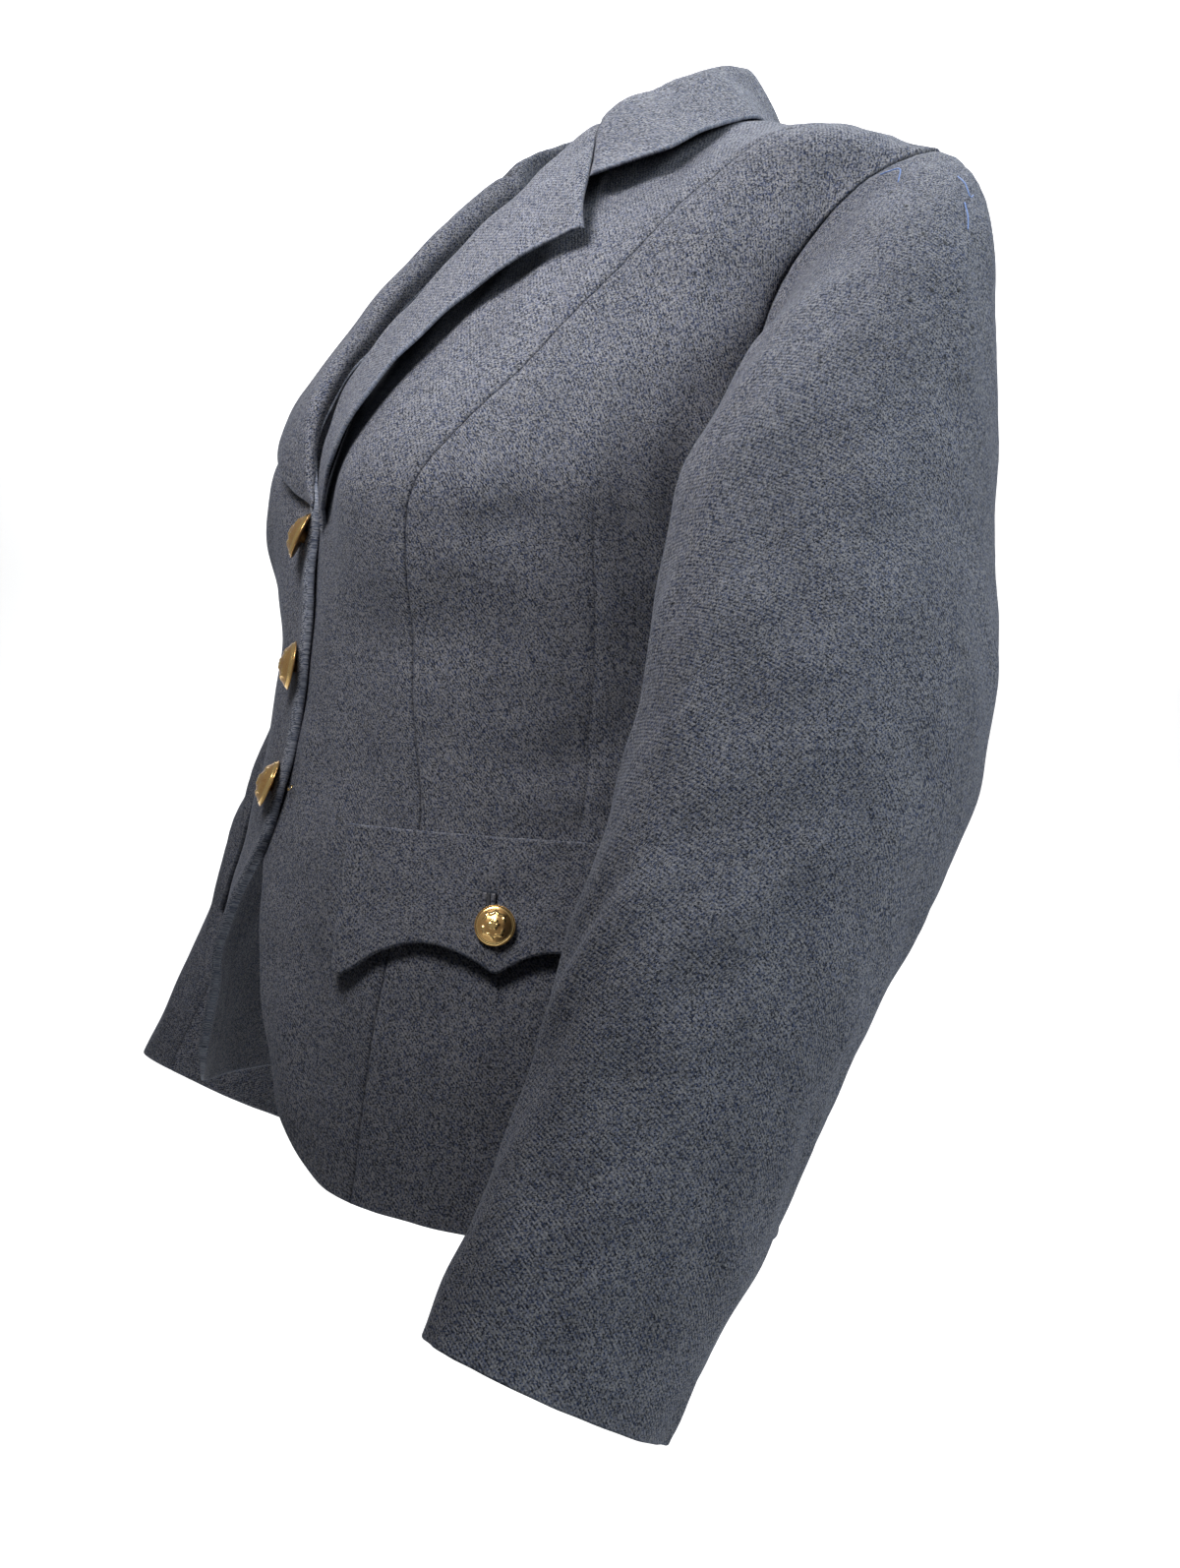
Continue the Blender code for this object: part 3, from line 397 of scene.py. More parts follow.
    def shoulder_row(self, start_z: float, end_z: float, count: int, aside: float) -> Array:
        """Points along the shoulder seam between two heights, a little to one side of it."""
        z = np.linspace(start_z, end_z, count)
        return np.stack([self.body.side_at(z) + aside, z], axis=1)

    def front(self, side: Side, columns: int) -> Array:
        """(girth, z) grid of a front between its inner edge and the princess seam."""
        inner = self.front_outline(self.overlap(side), (24, 80, 60, 80))
        outer = self.princess_curve(len(inner), -self.seam_gap / 2)
        top = self.shoulder_row(self.neck_point_z, self.princess_top_z, columns, -self.seam_gap / 2)
        return patch(inner, outer, top, even_curve(self.hem_front, columns))

    def armhole_curve(self, degrees: Array, grow: float = 0.0) -> Array:
        """(girth, z) round the armhole; 0 is the shoulder, 90 the front, 180 the underarm."""
        top, bottom, fore, aft = self.armhole
        angle = np.radians(np.atleast_1d(np.asarray(degrees, float)))
        z = (top + bottom) / 2 + ((top - bottom) / 2 + grow) * np.cos(angle)
        wide = np.where(np.sin(angle) > 0, fore, aft) + grow
        return np.stack([self.body.side_at(z) - wide * np.sin(angle), z], axis=1)

    def side_outline(self, degrees: Array, rows: int, aside: float) -> Array:
        """Armhole and side seam as one curve from the shoulder tip to the hem."""
        hole = self.armhole_curve(degrees, -0.0004)
        low_z = np.linspace(self.armhole[1], self.hem_side_z, rows - len(hole) + 1)
        low = np.stack([self.body.side_at(low_z), low_z], axis=1)
        curve = np.concatenate([hole[:-1], low])
        curve[:, 0] += aside
        return curve

    def side_front(self, columns: int) -> Array:
        """Grid of a side front between the princess seam, armhole and side seam."""
        inner = self.princess_curve(230, self.seam_gap / 2)
        outer = self.side_outline(np.linspace(1.0, 180, 105), 230, -self.seam_gap / 2)
        top = self.shoulder_row(self.princess_top_z, self.shoulder_tip_z, columns, -self.seam_gap / 2)
        return patch(inner, outer, top, straight(inner[-1], outer[-1], columns))

    def back(self, columns: int) -> Array:
        """Grid of a back; its outer edge runs down the shoulder, the armhole and the side seam."""
        body = self.body
        aside = self.seam_gap / 2
        shoulder = self.shoulder_row(self.neck_point_z, self.shoulder_tip_z, 50, aside)
        outer = self.side_outline(np.linspace(359.0, 180, 100), 230, aside)
        outer = np.concatenate([shoulder[:-1], outer])
        rows = len(outer)
        marks = (0, 49, 148, rows - 1)
        levels = (self.back_neck_z, self.back_yoke_z, self.armhole[1] - 0.004, self.hem_back_z)
        centre_z = np.interp(np.arange(rows), marks, levels)
        centre = np.stack([body.half_at(centre_z) - aside, centre_z], axis=1)
        turn = np.linspace(0, 1, columns)
        top_z = self.neck_point_z + (self.back_neck_z - self.neck_point_z) * np.sin(turn * math.pi / 2)
        low = body.side_at(top_z)
        top = np.stack([low + (body.half_at(top_z) - low) * turn, top_z], axis=1)
        flat = [np.stack([c[:, 0] / body.half_at(c[:, 1]), c[:, 1]], axis=1) for c in (outer, centre, top)]
        grid = patch(flat[0], flat[1], flat[2], straight(flat[0][-1], flat[1][-1], columns))
        grid[..., 0] *= body.half_at(grid[..., 1])
        return grid


@dataclass(frozen=True)
class SleeveForm:
    """Outer face of one sleeve, by angle round it and length along it."""

    cut: JacketCut
    side: Side
    inward: float = -0.008
    backward: float = 0.012
    # centre x, y, z, half width out, half width fore
    sections: tuple[tuple[float, ...], ...] = (
        (0.2370, 0.0030, -0.2480, 0.0465, 0.0830),
        (0.2450, 0.0005, -0.3000, 0.0490, 0.0885),
        (0.2510, -0.0085, -0.3500, 0.0480, 0.0875),
        (0.2550, -0.0265, -0.4000, 0.0455, 0.0805),
        (0.2590, -0.0470, -0.4500, 0.0430, 0.0740),
        (0.2620, -0.0690, -0.5200, 0.0390, 0.0680),
        (0.2640, -0.0920, -0.5720, 0.0360, 0.0640),
        (0.2660, -0.1120, -0.6180, 0.0340, 0.0615),
    )

    def table(self) -> Array:
        """Outlines of this side's sleeve; the right arm hangs a little closer and further back."""
        table = np.array(self.sections)
        if self.side is Side.RIGHT:
            fall = (table[0, 2] - table[:, 2]) / (table[0, 2] - table[-1, 2])
            table[:, 0] += self.inward * fall
            table[:, 1] += self.backward * fall
        return table

    def ring(self, table: Array, at: float, degrees: Array) -> tuple[Array, Array]:
        """Points round one sleeve outline.

        Args:
            table: Sleeve outlines.
            at: Row position in the table.
            degrees: Angles round the sleeve; 0 is out, 90 is to the front.

        Returns:
            The points, and the direction of the arm there.
        """
        angle = np.radians(degrees)
        last = len(table) - 1
        here = smooth_rows(table, [at])[0]
        below, above = smooth_rows(table, [min(at + 0.05, last), max(at - 0.05, 0)])[:, :3]
        along = below - above
        along = unit(along)
        fore = np.cross(np.array([1.0, 0.0, 0.0]), along)
        fore = unit(fore)
        fore = -fore if fore[1] > 0 else fore
        away = np.cross(along, fore)
        away = -away if away[0] < 0 else away
        sideways = away[None] * (here[3] * np.cos(angle))[:, None]
        forward = fore[None] * (here[4] * np.sin(angle))[:, None]
        return here[:3][None] + (sideways + forward), along

    def head(self, table: Array, part: float, degrees: Array) -> Array:
        """Points between the armhole (part 0) and the first full outline (part 1)."""
        angle = np.radians(degrees)
        hole = self.cut.armhole_curve(degrees, -0.0004)
        start = self.cut.body.at(hole[:, 0], hole[:, 1], 0.0004)
        end, along = self.ring(table, 0.0, degrees)
        reach = np.linalg.norm(end - start, axis=1)[:, None]
        lean = -0.35 + 0.10 * np.minimum(np.cos(angle), 0)
        lift = np.stack([np.ones_like(angle), -0.15 * np.sin(angle), lean], axis=1)
        lift = unit(lift)
        near = start + lift * reach * 0.30
        far = end - along[None] * reach * 0.36
        rest = 1 - part
        return rest**3 * start + 3 * rest**2 * part * near + 3 * rest * part**2 * far + part**3 * end

    def grid(self, degrees: Array, head_rows: int, tube_rows: int) -> Array:
        """Points from the armhole down to the cuff, one column for each angle."""
        table = self.table()
        rows = [self.head(table, t, degrees) for t in np.linspace(0, 1, head_rows)]
        rows += [self.ring(table, t, degrees)[0] for t in np.linspace(0, len(table) - 1, tube_rows)[1:]]
        return np.array(rows)


@dataclass(frozen=True)
class Crease:
    """A soft ridge (or trough, where height is negative) between two points of the cloth."""

    start: Pair
    end: Pair
    width: float
    height: float
    bow: float = 0.0

    def lift(self, u: Array, v: Array) -> Array:
        """Height of the crease over the cloth.

        Args:
            u: Positions across the cloth, in metres.
            v: Positions along the cloth, in metres.

        Returns:
            Distances off the plain surface.
        """
        run = np.array(self.end) - np.array(self.start)
        long = float(np.hypot(*run))
        run = run / long
        du = u - self.start[0]
        dv = v - self.start[1]
        part = (du * run[0] + dv * run[1]) / long
        bowed = self.bow * 4 * np.clip(part, 0, 1) * (1 - np.clip(part, 0, 1))
        off = du * -run[1] + dv * run[0] - bowed
        fade = np.sin(np.pi * np.clip(part, 0, 1)) ** 0.8
        return self.height * fade * bell(off, 0.0, self.width)


def creases(*rows: tuple[float, ...]) -> tuple[Crease, ...]:
    """Creases from rows of start u, v, end u, v, width, height and bow."""
    return tuple(Crease((a, b), (c, d), *rest) for a, b, c, d, *rest in rows)


# on the panels, by girth and height
BODY_CREASES: dict[Side, tuple[Crease, ...]] = {
    Side.LEFT: creases(
        (0.150, -0.205, 0.118, -0.285, 0.012, 0.0014, 0.006),
        (0.185, -0.240, 0.120, -0.262, 0.010, -0.0010, 0.004),
        (0.020, -0.275, 0.034, -0.420, 0.016, 0.0012, 0.004),
        (0.055, -0.290, 0.072, -0.395, 0.014, -0.0009, 0.004),
        (0.205, -0.330, 0.120, -0.352, 0.010, 0.0012, 0.006),
        (0.210, -0.352, 0.130, -0.372, 0.009, -0.0012, 0.006),
        (0.210, -0.376, 0.150, -0.388, 0.009, 0.0010, 0.004),
        (0.150, -0.090, 0.172, -0.180, 0.013, -0.0016, 0.006),
        (0.060, -0.480, 0.085, -0.560, 0.016, 0.0014, 0.004),
        (0.100, -0.500, 0.112, -0.575, 0.014, -0.0010, 0.003),
        (0.300, -0.320, 0.400, -0.340, 0.011, 0.0013, 0.010),
        (0.310, -0.350, 0.420, -0.365, 0.011, -0.0014, 0.010),
        (0.330, -0.378, 0.440, -0.382, 0.010, 0.0010, 0.008),
        (0.330, -0.130, 0.390, -0.235, 0.017, 0.0016, 0.010),
        (0.350, -0.420, 0.365, -0.580, 0.022, 0.0020, 0.006),
    ),
    Side.RIGHT: creases(
        (0.148, -0.200, 0.112, -0.280, 0.012, 0.0013, 0.008),
        (0.190, -0.248, 0.126, -0.268, 0.010, -0.0012, 0.004),
        (0.040, -0.275, 0.050, -0.410, 0.016, 0.0010, 0.004),
        (0.200, -0.325, 0.118, -0.350, 0.010, 0.0013, 0.008),
        (0.212, -0.356, 0.128, -0.376, 0.010, -0.0012, 0.006),
        (0.152, -0.095, 0.175, -0.185, 0.013, -0.0015, 0.005),
        (0.065, -0.470, 0.092, -0.560, 0.016, 0.0015, 0.005),
        (0.300, -0.315, 0.390, -0.336, 0.011, 0.0012, 0.008),
        (0.305, -0.345, 0.410, -0.362, 0.011, -0.0013, 0.010),
        (0.325, -0.140, 0.385, -0.240, 0.017, 0.0015, 0.008),
        (0.345, -0.430, 0.355, -0.585, 0.022, 0.0018, 0.006),
    ),
}

# on the sleeves, by distance round and along
SLEEVE_CREASES: dict[Side, tuple[Crease, ...]] = {
    Side.LEFT: creases(
        (0.135, 0.330, 0.045, 0.352, 0.010, -0.0018, 0.006),
        (0.140, 0.352, 0.060, 0.378, 0.009, 0.0016, 0.006),
        (0.140, 0.372, 0.070, 0.405, 0.010, -0.0014, 0.006),
        (0.120, 0.055, 0.060, 0.105, 0.008, 0.0018, 0.006),
        (0.128, 0.075, 0.070, 0.150, 0.010, -0.0016, 0.008),
        (0.0600, 0.0280, 0.0850, 0.0060, 0.0045, 0.0014, 0.001),
        (0.0560, 0.0200, 0.0800, 0.0010, 0.0045, -0.0010, 0.001),
        (0.030, 0.160, 0.020, 0.330, 0.022, 0.0016, 0.008),
        (0.075, 0.200, 0.050, 0.420, 0.018, -0.0012, 0.006),
        (0.020, 0.400, 0.035, 0.560, 0.020, 0.0014, 0.004),
        (-0.060, 0.340, -0.010, 0.400, 0.016, -0.0012, 0.004),
    ),
    Side.RIGHT: creases(
        (0.138, 0.320, 0.050, 0.346, 0.010, -0.0017, 0.006),
        (0.140, 0.345, 0.062, 0.370, 0.009, 0.0015, 0.006),
        (0.138, 0.368, 0.075, 0.398, 0.010, -0.0013, 0.005),
        (0.120, 0.060, 0.064, 0.112, 0.009, 0.0014, 0.006),
        (0.035, 0.170, 0.022, 0.340, 0.022, 0.0015, 0.008),
        (0.020, 0.410, 0.040, 0.570, 0.020, 0.0013, 0.004),
        (-0.055, 0.330, -0.015, 0.395, 0.016, -0.0012, 0.004),
    ),
}


@dataclass(frozen=True)
class Unevenness:
    """Slow random swell of cloth that hangs free, made of a few fixed waves."""

    seed: int
    height: float = 0.00022
    waves: int = 14
    shortest: float = 0.035
    longest: float = 0.110

    def lift(self, u: Array, v: Array) -> Array:
        """Height of the swell at cloth positions u and v."""
        chance = np.random.default_rng(self.seed)
        total = np.zeros_like(u)
        for _ in range(self.waves):
            length = chance.uniform(self.shortest, self.longest)
            turn = chance.uniform(0, math.pi)
            phase = chance.uniform(0, 2 * math.pi)
            along = u * math.cos(turn) * 1.5 + v * math.sin(turn)
            total += self.height * np.sin(2 * math.pi * along / length + phase)
        return total


@dataclass(frozen=True)
class Borders:
    """Finish of the four borders of a cloth grid."""

    top: Edge
    bottom: Edge
    first: Edge
    last: Edge


@dataclass
class ClothPiece:
    """One cut piece of cloth: a closed thin wall on a grid, with rounded and sewn borders."""

    name: str
    node: str
    side: Side
    base: Array
    fields: Array
    borders: Borders
    thickness: float
    spacing: float = 0.0040
    seam_dip: float = 0.0009
    dip_reach: float = 0.0026
    pucker: float = 0.00022
    pucker_pitch: float = 0.0115
    pucker_reach: float = 0.0055
    fullness: float = 0.00035
    full_width: float = 0.0034
    lift: OverCloth | None = None
    normal_of: Callable[[Array], Array] | None = None
    thick_of: OverCloth | None = None
    shape_edge: Callable[["ClothPiece", Array], Array] | None = None
    # signed offset from a line of painted shade: the dart, the closing-edge shadow, the flap-edge shadow
    shade_line_of: OverCloth | None = None
    edge_band: float = 0.0
    steps: tuple[float, ...] = (0.0, 0.0002, 0.0005, 0.0009, 0.0014, 0.0022, 0.0034)
    cut_size: Triple = (0.0, 0.0, 0.0)

    def spaced(self, total: float, cells: int) -> Array:
        """Positions along a row, close together near its two ends."""
        scale = min(1.0, total / (3 * self.steps[-1]))
        near = np.array(self.steps) * scale
        middle = np.linspace(near[-1], total - near[-1], cells + 1)[1:-1]
        return np.concatenate([near, middle, total - near[::-1]])

    def respace(self, stack: Array) -> Array:
        """Respace the rows of a stack of values, whose first three are points.

        Args:
            stack: Grid of rows; each entry is a point and its fields.

        Returns:
            The grid with its rows respaced.
        """
        run = run_along(stack[..., :3], 1)
        cells = max(4, int(round(float(np.percentile(run[:, -1], 80)) / self.spacing)))
        rows = []
        for values, length in zip(stack, run):
            want = self.spaced(float(length[-1]), cells)
            rows.append(np.stack([np.interp(want, length, column) for column in values.T], axis=1))
        return np.array(rows)

    def build(self) -> Object:
        """Make the wall mesh.

        Returns:
            The piece's object, with its map in metres of cloth and its edge distance.
        """
        stack = np.concatenate([self.base, self.fields], axis=2)
        stack = self.respace(stack)
        stack = self.respace(stack.transpose(1, 0, 2)).transpose(1, 0, 2)
        points = stack[..., :3]
        fields = stack[..., 3:]
        across = run_along(points, 1)
        down = run_along(points, 0)
        away = {"first": across, "last": across[:, -1:] - across, "top": down, "bottom": down[-1:] - down}
        normals = self.normal_of(fields) if self.normal_of else grid_normals(points)
        u = fields[..., 0]
        v = fields[..., 1]
        thick = self.thick_of(u, v) if self.thick_of else np.full(u.shape, self.thickness)
        outer = self.lift(u, v) if self.lift else np.zeros(u.shape)
        if self.shape_edge:
            far = np.stack([away[border] for border in ("top", "bottom", "first", "last")])
            outer = outer + self.shape_edge(self, far)
        inner = outer - thick
        reach = {Edge.SEAM: np.full(u.shape, 1.0), Edge.FOLD: np.full(u.shape, 1.0)}
        for border, far in away.items():
            kind = getattr(self.borders, border)
            if kind is Edge.SEAM:
                along = v if border in ("first", "last") else u
                dip = self.seam_dip * (1 - np.clip(far / self.dip_reach, 0, 1)) ** 2
                ripple = np.sin(2 * math.pi * along / self.pucker_pitch + 2.1 * np.sin(along * 61.0))
                outer = outer - dip + self.pucker * ripple * np.exp(-far / self.pucker_reach)
                outer = outer + self.fullness * bell(far, self.pucker_reach, self.full_width)
            elif kind is Edge.FOLD:
                radius = thick / 2
                inside = np.clip(far / radius, 0, 1)
                turn = radius * (1 - np.sqrt(np.clip(1 - (1 - inside) ** 2, 0, 1))) * 0.92
                outer = outer - turn
                inner = inner + turn
            if kind is not Edge.TUCKED:
                reach[kind] = np.minimum(reach[kind], far)
        # offset from the line of painted shade, far where the piece has none
        dart = self.shade_line_of(u, v) if self.shade_line_of else np.full(u.shape, FAR)
        band = away["first"] < self.edge_band
        front = (points + normals * outer[..., None]) * self.side.mirror
        back = (points + normals * inner[..., None]) * self.side.mirror
        self.measure(front)
        marks = dict(zip(MARKS, (reach[Edge.SEAM], reach[Edge.FOLD], dart)))
        return self.mesh_object(front, back, self.flat_map(points), marks, band)

    def flat_map(self, points: Array) -> Array:
        """Lay the piece flat, true to size along its middle column and along every row.

        Args:
            points: The piece's grid of points.

        Returns:
            Grid of (across, down) positions in metres; across runs to the wearer's left.
        """
        middle = points.shape[1] // 2
        across = run_along(points, 1)
        across = across - across[:, middle : middle + 1]
        sideways = float(np.sum(points[:, -1, 0] - points[:, 0, 0])) * self.side.value
        down = np.broadcast_to(run_along(points[:, middle : middle + 1], 0), across.shape)
        return np.stack([across * (1.0 if sideways > 0 else -1.0), -down], axis=2)

    def measure(self, front: Array) -> None:
        """Keep the flat width, length and area of the cut, measured over the cloth."""
        across = front[1:, :-1] - front[:-1, :-1]
        down = front[:-1, 1:] - front[:-1, :-1]
        area = float(np.linalg.norm(np.cross(across, down), axis=2).sum())
        width = float(run_along(front, 1)[:, -1].max())
        length = float(run_along(front, 0)[-1].max())
        self.cut_size = (width, length, area)

    def mesh_object(
        self, front: Array, back: Array, flat: Array, marks: dict[str, Array], band: Array
    ) -> Object:
        """Close two skins into one wall and give it its map, marks and edge band.

        Args:
            front: Grid of points of the outer skin.
            back: Grid of points of the inner skin.
            flat: The cloth map.
            marks: A value for each point under each name.
            band: Which points lie in the edge band, that takes the second material.

        Returns:
            The new object.
        """
        rows, columns = flat.shape[:2]
        count = rows * columns
        index = np.arange(count).reshape(rows, columns)
        quads = np.stack([index[:-1, :-1], index[:-1, 1:], index[1:, 1:], index[1:, :-1]], axis=2)
        quads = quads.reshape(-1, 4)
        rim = np.concatenate([index[0], index[1:, -1], index[-1, -2::-1], index[-2:0:-1, 0]])
        ahead = np.roll(rim, -1)
        wall = np.stack([ahead, rim, rim + count, ahead + count], axis=1)
        faces = np.concatenate([quads, quads[:, ::-1] + count, wall])
        points = np.concatenate([front.reshape(-1, 3), back.reshape(-1, 3)])
        a, b, c, d = (points[faces[:, k]] for k in range(4))
        if sum((a * np.cross(*pair)).sum() for pair in ((b, c), (c, d))) < 0:
            faces = faces[:, ::-1]
        mesh = bpy.data.meshes.new(self.name)
        mesh.vertices.add(len(points))
        mesh.vertices.foreach_set("co", points.ravel())
        mesh.loops.add(faces.size)
        mesh.loops.foreach_set("vertex_index", faces.ravel())
        mesh.polygons.add(len(faces))
        mesh.polygons.foreach_set("loop_start", np.arange(0, faces.size, 4))
        mesh.update(calc_edges=True)
        mesh.polygons.foreach_set("use_smooth", np.ones(len(faces), bool))
        placed = np.tile(flat.reshape(-1, 2), (2, 1))
        mesh.uv_layers.new(name="cloth").uv.foreach_set("vector", placed[faces.ravel()].ravel())
        for label, values in marks.items():
            mark = mesh.attributes.new(label, "FLOAT", "POINT")
            near = np.clip(values, -FAR, FAR).ravel()
            mark.data.foreach_set("value", np.tile(near, 2).astype(np.float32))
        banded = np.tile(band.ravel(), 2)[faces].all(axis=1)
        mesh.polygons.foreach_set("material_index", banded.astype(np.int32))
        return show(self.name, mesh)


@dataclass(frozen=True)
class NodeTools:
    """Short ways to add and join nodes in one tree."""

    tree: NodeTree

    def feed(self, node: Node, values: dict[str | int, object]) -> None:
        """Give inputs of a node their values, each a socket to link or a plain value."""
        for key, value in values.items():
            if isinstance(value, NodeSocket):
                self.tree.links.new(value, node.inputs[key])
            else:
                node.inputs[key].default_value = value

    def add(self, kind: str, values: dict[str | int, object] | None = None, **settings: object) -> Node:
        """Add a node.

        Args:
            kind: Its type.
            values: Values of its inputs, by name or place.
            settings: Its properties.

        Returns:
            The node.
        """
        node = self.tree.nodes.new(kind)
        for name, value in settings.items():
            setattr(node, name, value)
        self.feed(node, values or {})
        return node

    def maths(self, operation: str, *values: object) -> NodeSocket:
        """Add a Math node whose inputs are sockets or numbers."""
        return self.add("ShaderNodeMath", dict(enumerate(values)), operation=operation).outputs[0]

    def vector(self, *values: object) -> NodeSocket:
        """Put up to three numbers or sockets together as one vector."""
        return self.add("ShaderNodeCombineXYZ", dict(enumerate(values))).outputs[0]

    def noise(self, place: NodeSocket, scale: float, detail: float, rough: float) -> NodeSocket:
        """Add a soft noise read at a place; it gives 0 to 1."""
        values = {"Vector": place, "Scale": scale, "Detail": detail, "Roughness": rough}
        return self.add("ShaderNodeTexNoise", values).outputs[0]

    def mix(self, share: object, first: object, second: object, blend: str = "MIX") -> NodeSocket:
        """Mix two colours, each a socket or four numbers, by the share of the second."""
        values = {0: share, 6: first, 7: second}
        return self.add("ShaderNodeMix", values, data_type="RGBA", blend_type=blend).outputs[2]

    def spread(self, value: NodeSocket, low: Pair, high: Pair) -> NodeSocket:
        """Map a value from the range low to the range high, clamped."""
        return self.add("ShaderNodeMapRange", dict(enumerate((value, *low, *high)))).outputs[0]

    def bump(self, height: NodeSocket, strength: float, depth: float) -> NodeSocket:
        """Turn a height into a normal."""
        values = {"Strength": strength, "Distance": depth, "Height": height}
        return self.add("ShaderNodeBump", values).outputs[0]


def start_material(name: str) -> tuple[Material, NodeTools, Node]:
    """New material, tools on its tree and its Principled shader."""
    material = bpy.data.materials.new(name)
    material.use_nodes = True
    return material, NodeTools(material.node_tree), material.node_tree.nodes["Principled BSDF"]


def show(name: str, data: bpy.types.ID) -> Object:
    """Put a mesh, light or camera in the scene under a name."""
    thing = bpy.data.objects.new(name, data)
    bpy.context.scene.collection.objects.link(thing)
    return thing


def new_mesh(name: str, points: Array | list, faces: list[tuple], smooth: bool = True) -> Mesh:
    """Mesh from points and faces, shaded smooth or flat."""
    mesh = bpy.data.meshes.new(name)
    mesh.from_pydata(np.asarray(points, float).tolist(), [], faces)
    mesh.polygons.foreach_set("use_smooth", np.full(len(faces), smooth))
    return mesh


class SharedGroups:
    """Shader node groups that more than one finish uses."""

    @staticmethod
    def start(name: str, inputs: dict[str, tuple[str, object]], outputs: dict[str, str]) -> NodeTools:
        """Make an empty group with named sockets.

        Args:
            name: Group name.
            inputs: Kind and starting value of each input.
            outputs: Kind of each output.

        Returns:
            Tools on the new tree.
        """
        tree = bpy.data.node_groups.new(name, "ShaderNodeTree")
        for label, (kind, value) in inputs.items():
            socket = tree.interface.new_socket(name=label, in_out="INPUT", socket_type=kind)
            if value is not None:
                socket.default_value = value
        for label, kind in outputs.items():
            tree.interface.new_socket(name=label, in_out="OUTPUT", socket_type=kind)
        return NodeTools(tree)

    @classmethod
    def twill_weave(cls) -> NodeTree:
        """Diagonal ribs and mixed light, dark and blue yarns, on a map in metres.

        Returns:
            Group with outputs Yarn (0 dark to 1 light), Blue and Height.
        """
        tools = cls.start(
            "twill_weave",
            {
                "Vector": ("NodeSocketVector", None),
                "Rib Pitch": ("NodeSocketFloat", 0.0014),
                "Rib Angle": ("NodeSocketFloat", 0.75),
                "Rib Share": ("NodeSocketFloat", 0.30),
            },
            {"Yarn": "NodeSocketFloat", "Blue": "NodeSocketFloat", "Height": "NodeSocketFloat"},
        )
        given = tools.add("NodeGroupInput").outputs
        split = tools.add("ShaderNodeSeparateXYZ", {0: given["Vector"]})
        x, y = split.outputs[0], split.outputs[1]
        cosine = tools.maths("COSINE", given["Rib Angle"])
        sine = tools.maths("SINE", given["Rib Angle"])
        across = tools.maths("ADD", tools.maths("MULTIPLY", x, sine), tools.maths("MULTIPLY", y, cosine))
        along = tools.maths("SUBTRACT", tools.maths("MULTIPLY", x, cosine), tools.maths("MULTIPLY", y, sine))
        lines = tools.maths("DIVIDE", across, given["Rib Pitch"])
        steps = tools.maths("DIVIDE", along, given["Rib Pitch"])
        wander = tools.noise(tools.vector(lines, steps), 0.06, 1.0, 0.5)
        bent = tools.maths("ADD", lines, tools.maths("MULTIPLY", wander, 0.9))
        wave = tools.maths("SINE", tools.maths("MULTIPLY", bent, 2 * math.pi))
        rib = tools.spread(wave, (-1.0, 1.0), (0.0, 1.0))
        yarns_in_rib, stagger = 2.4, 0.37
        row = tools.maths("FLOOR", tools.maths("MULTIPLY", bent, yarns_in_rib))
        floated = tools.maths("MULTIPLY", steps, yarns_in_rib)
        start = tools.maths("ADD", floated, tools.maths("MULTIPLY", row, stagger))
        cell = tools.vector(row, tools.maths("FLOOR", start))
        drawn = tools.add("ShaderNodeTexWhiteNoise", {"Vector": cell}, noise_dimensions="2D")
        chance = tools.add("ShaderNodeSeparateColor", {0: drawn.outputs["Color"]}).outputs
        mixed = tools.maths("MULTIPLY", chance[0], tools.maths("SUBTRACT", 1.0, given["Rib Share"]))
        crown = tools.maths("MULTIPLY", rib, 0.7)
        made = {
            "Yarn": tools.maths("ADD", mixed, tools.maths("MULTIPLY", rib, given["Rib Share"])),
            "Blue": tools.spread(chance[1], (0.45, 0.95), (0.0, 1.0)),
            "Height": tools.maths("ADD", crown, tools.maths("MULTIPLY", chance[0], 0.3)),
        }
        tools.add("NodeGroupOutput", made)
        return tools.tree

    @classmethod
    def border_wear(cls) -> NodeTree:
        """Masks along the borders of a piece: rubbed folds, and painted shade along seams, the dart and other
        lines of shade.

        Returns:
            Group with outputs Worn and Shaded.
        """
        kind = "NodeSocketFloat"
        tools = cls.start(
            "border_wear",
            {
                "Vector": ("NodeSocketVector", None),
                "Fold Distance": (kind, 1.0),
                "Seam Distance": (kind, 1.0),
                "Dart Offset": (kind, 1.0),
                "Fold Reach": (kind, 0.0022),
                "Seam Reach": (kind, 0.0010),
            },
            {"Worn": kind, "Shaded": kind},
        )
        given = tools.add("NodeGroupInput").outputs
        fold = tools.maths("DIVIDE", given["Fold Distance"], given["Fold Reach"])
        patchy = tools.noise(given["Vector"], 260.0, 3.0, 0.6)
        rubbed = tools.spread(fold, (0.0, 1.0), (1.0, 0.0))
        worn = tools.maths("MULTIPLY", rubbed, tools.spread(patchy, (0.35, 0.6), (0.3, 1.0)))
        # painted shade along seams and along the lines of shade
        dart = tools.maths("ABSOLUTE", given["Dart Offset"])
        nearest = tools.maths("MINIMUM", given["Seam Distance"], dart)
        seam = tools.maths("DIVIDE", nearest, given["Seam Reach"])
        shaded = tools.spread(seam, (0.15, 1.0), (1.0, 0.0))
        tools.add("NodeGroupOutput", {"Worn": worn, "Shaded": shaded})
        return tools.tree


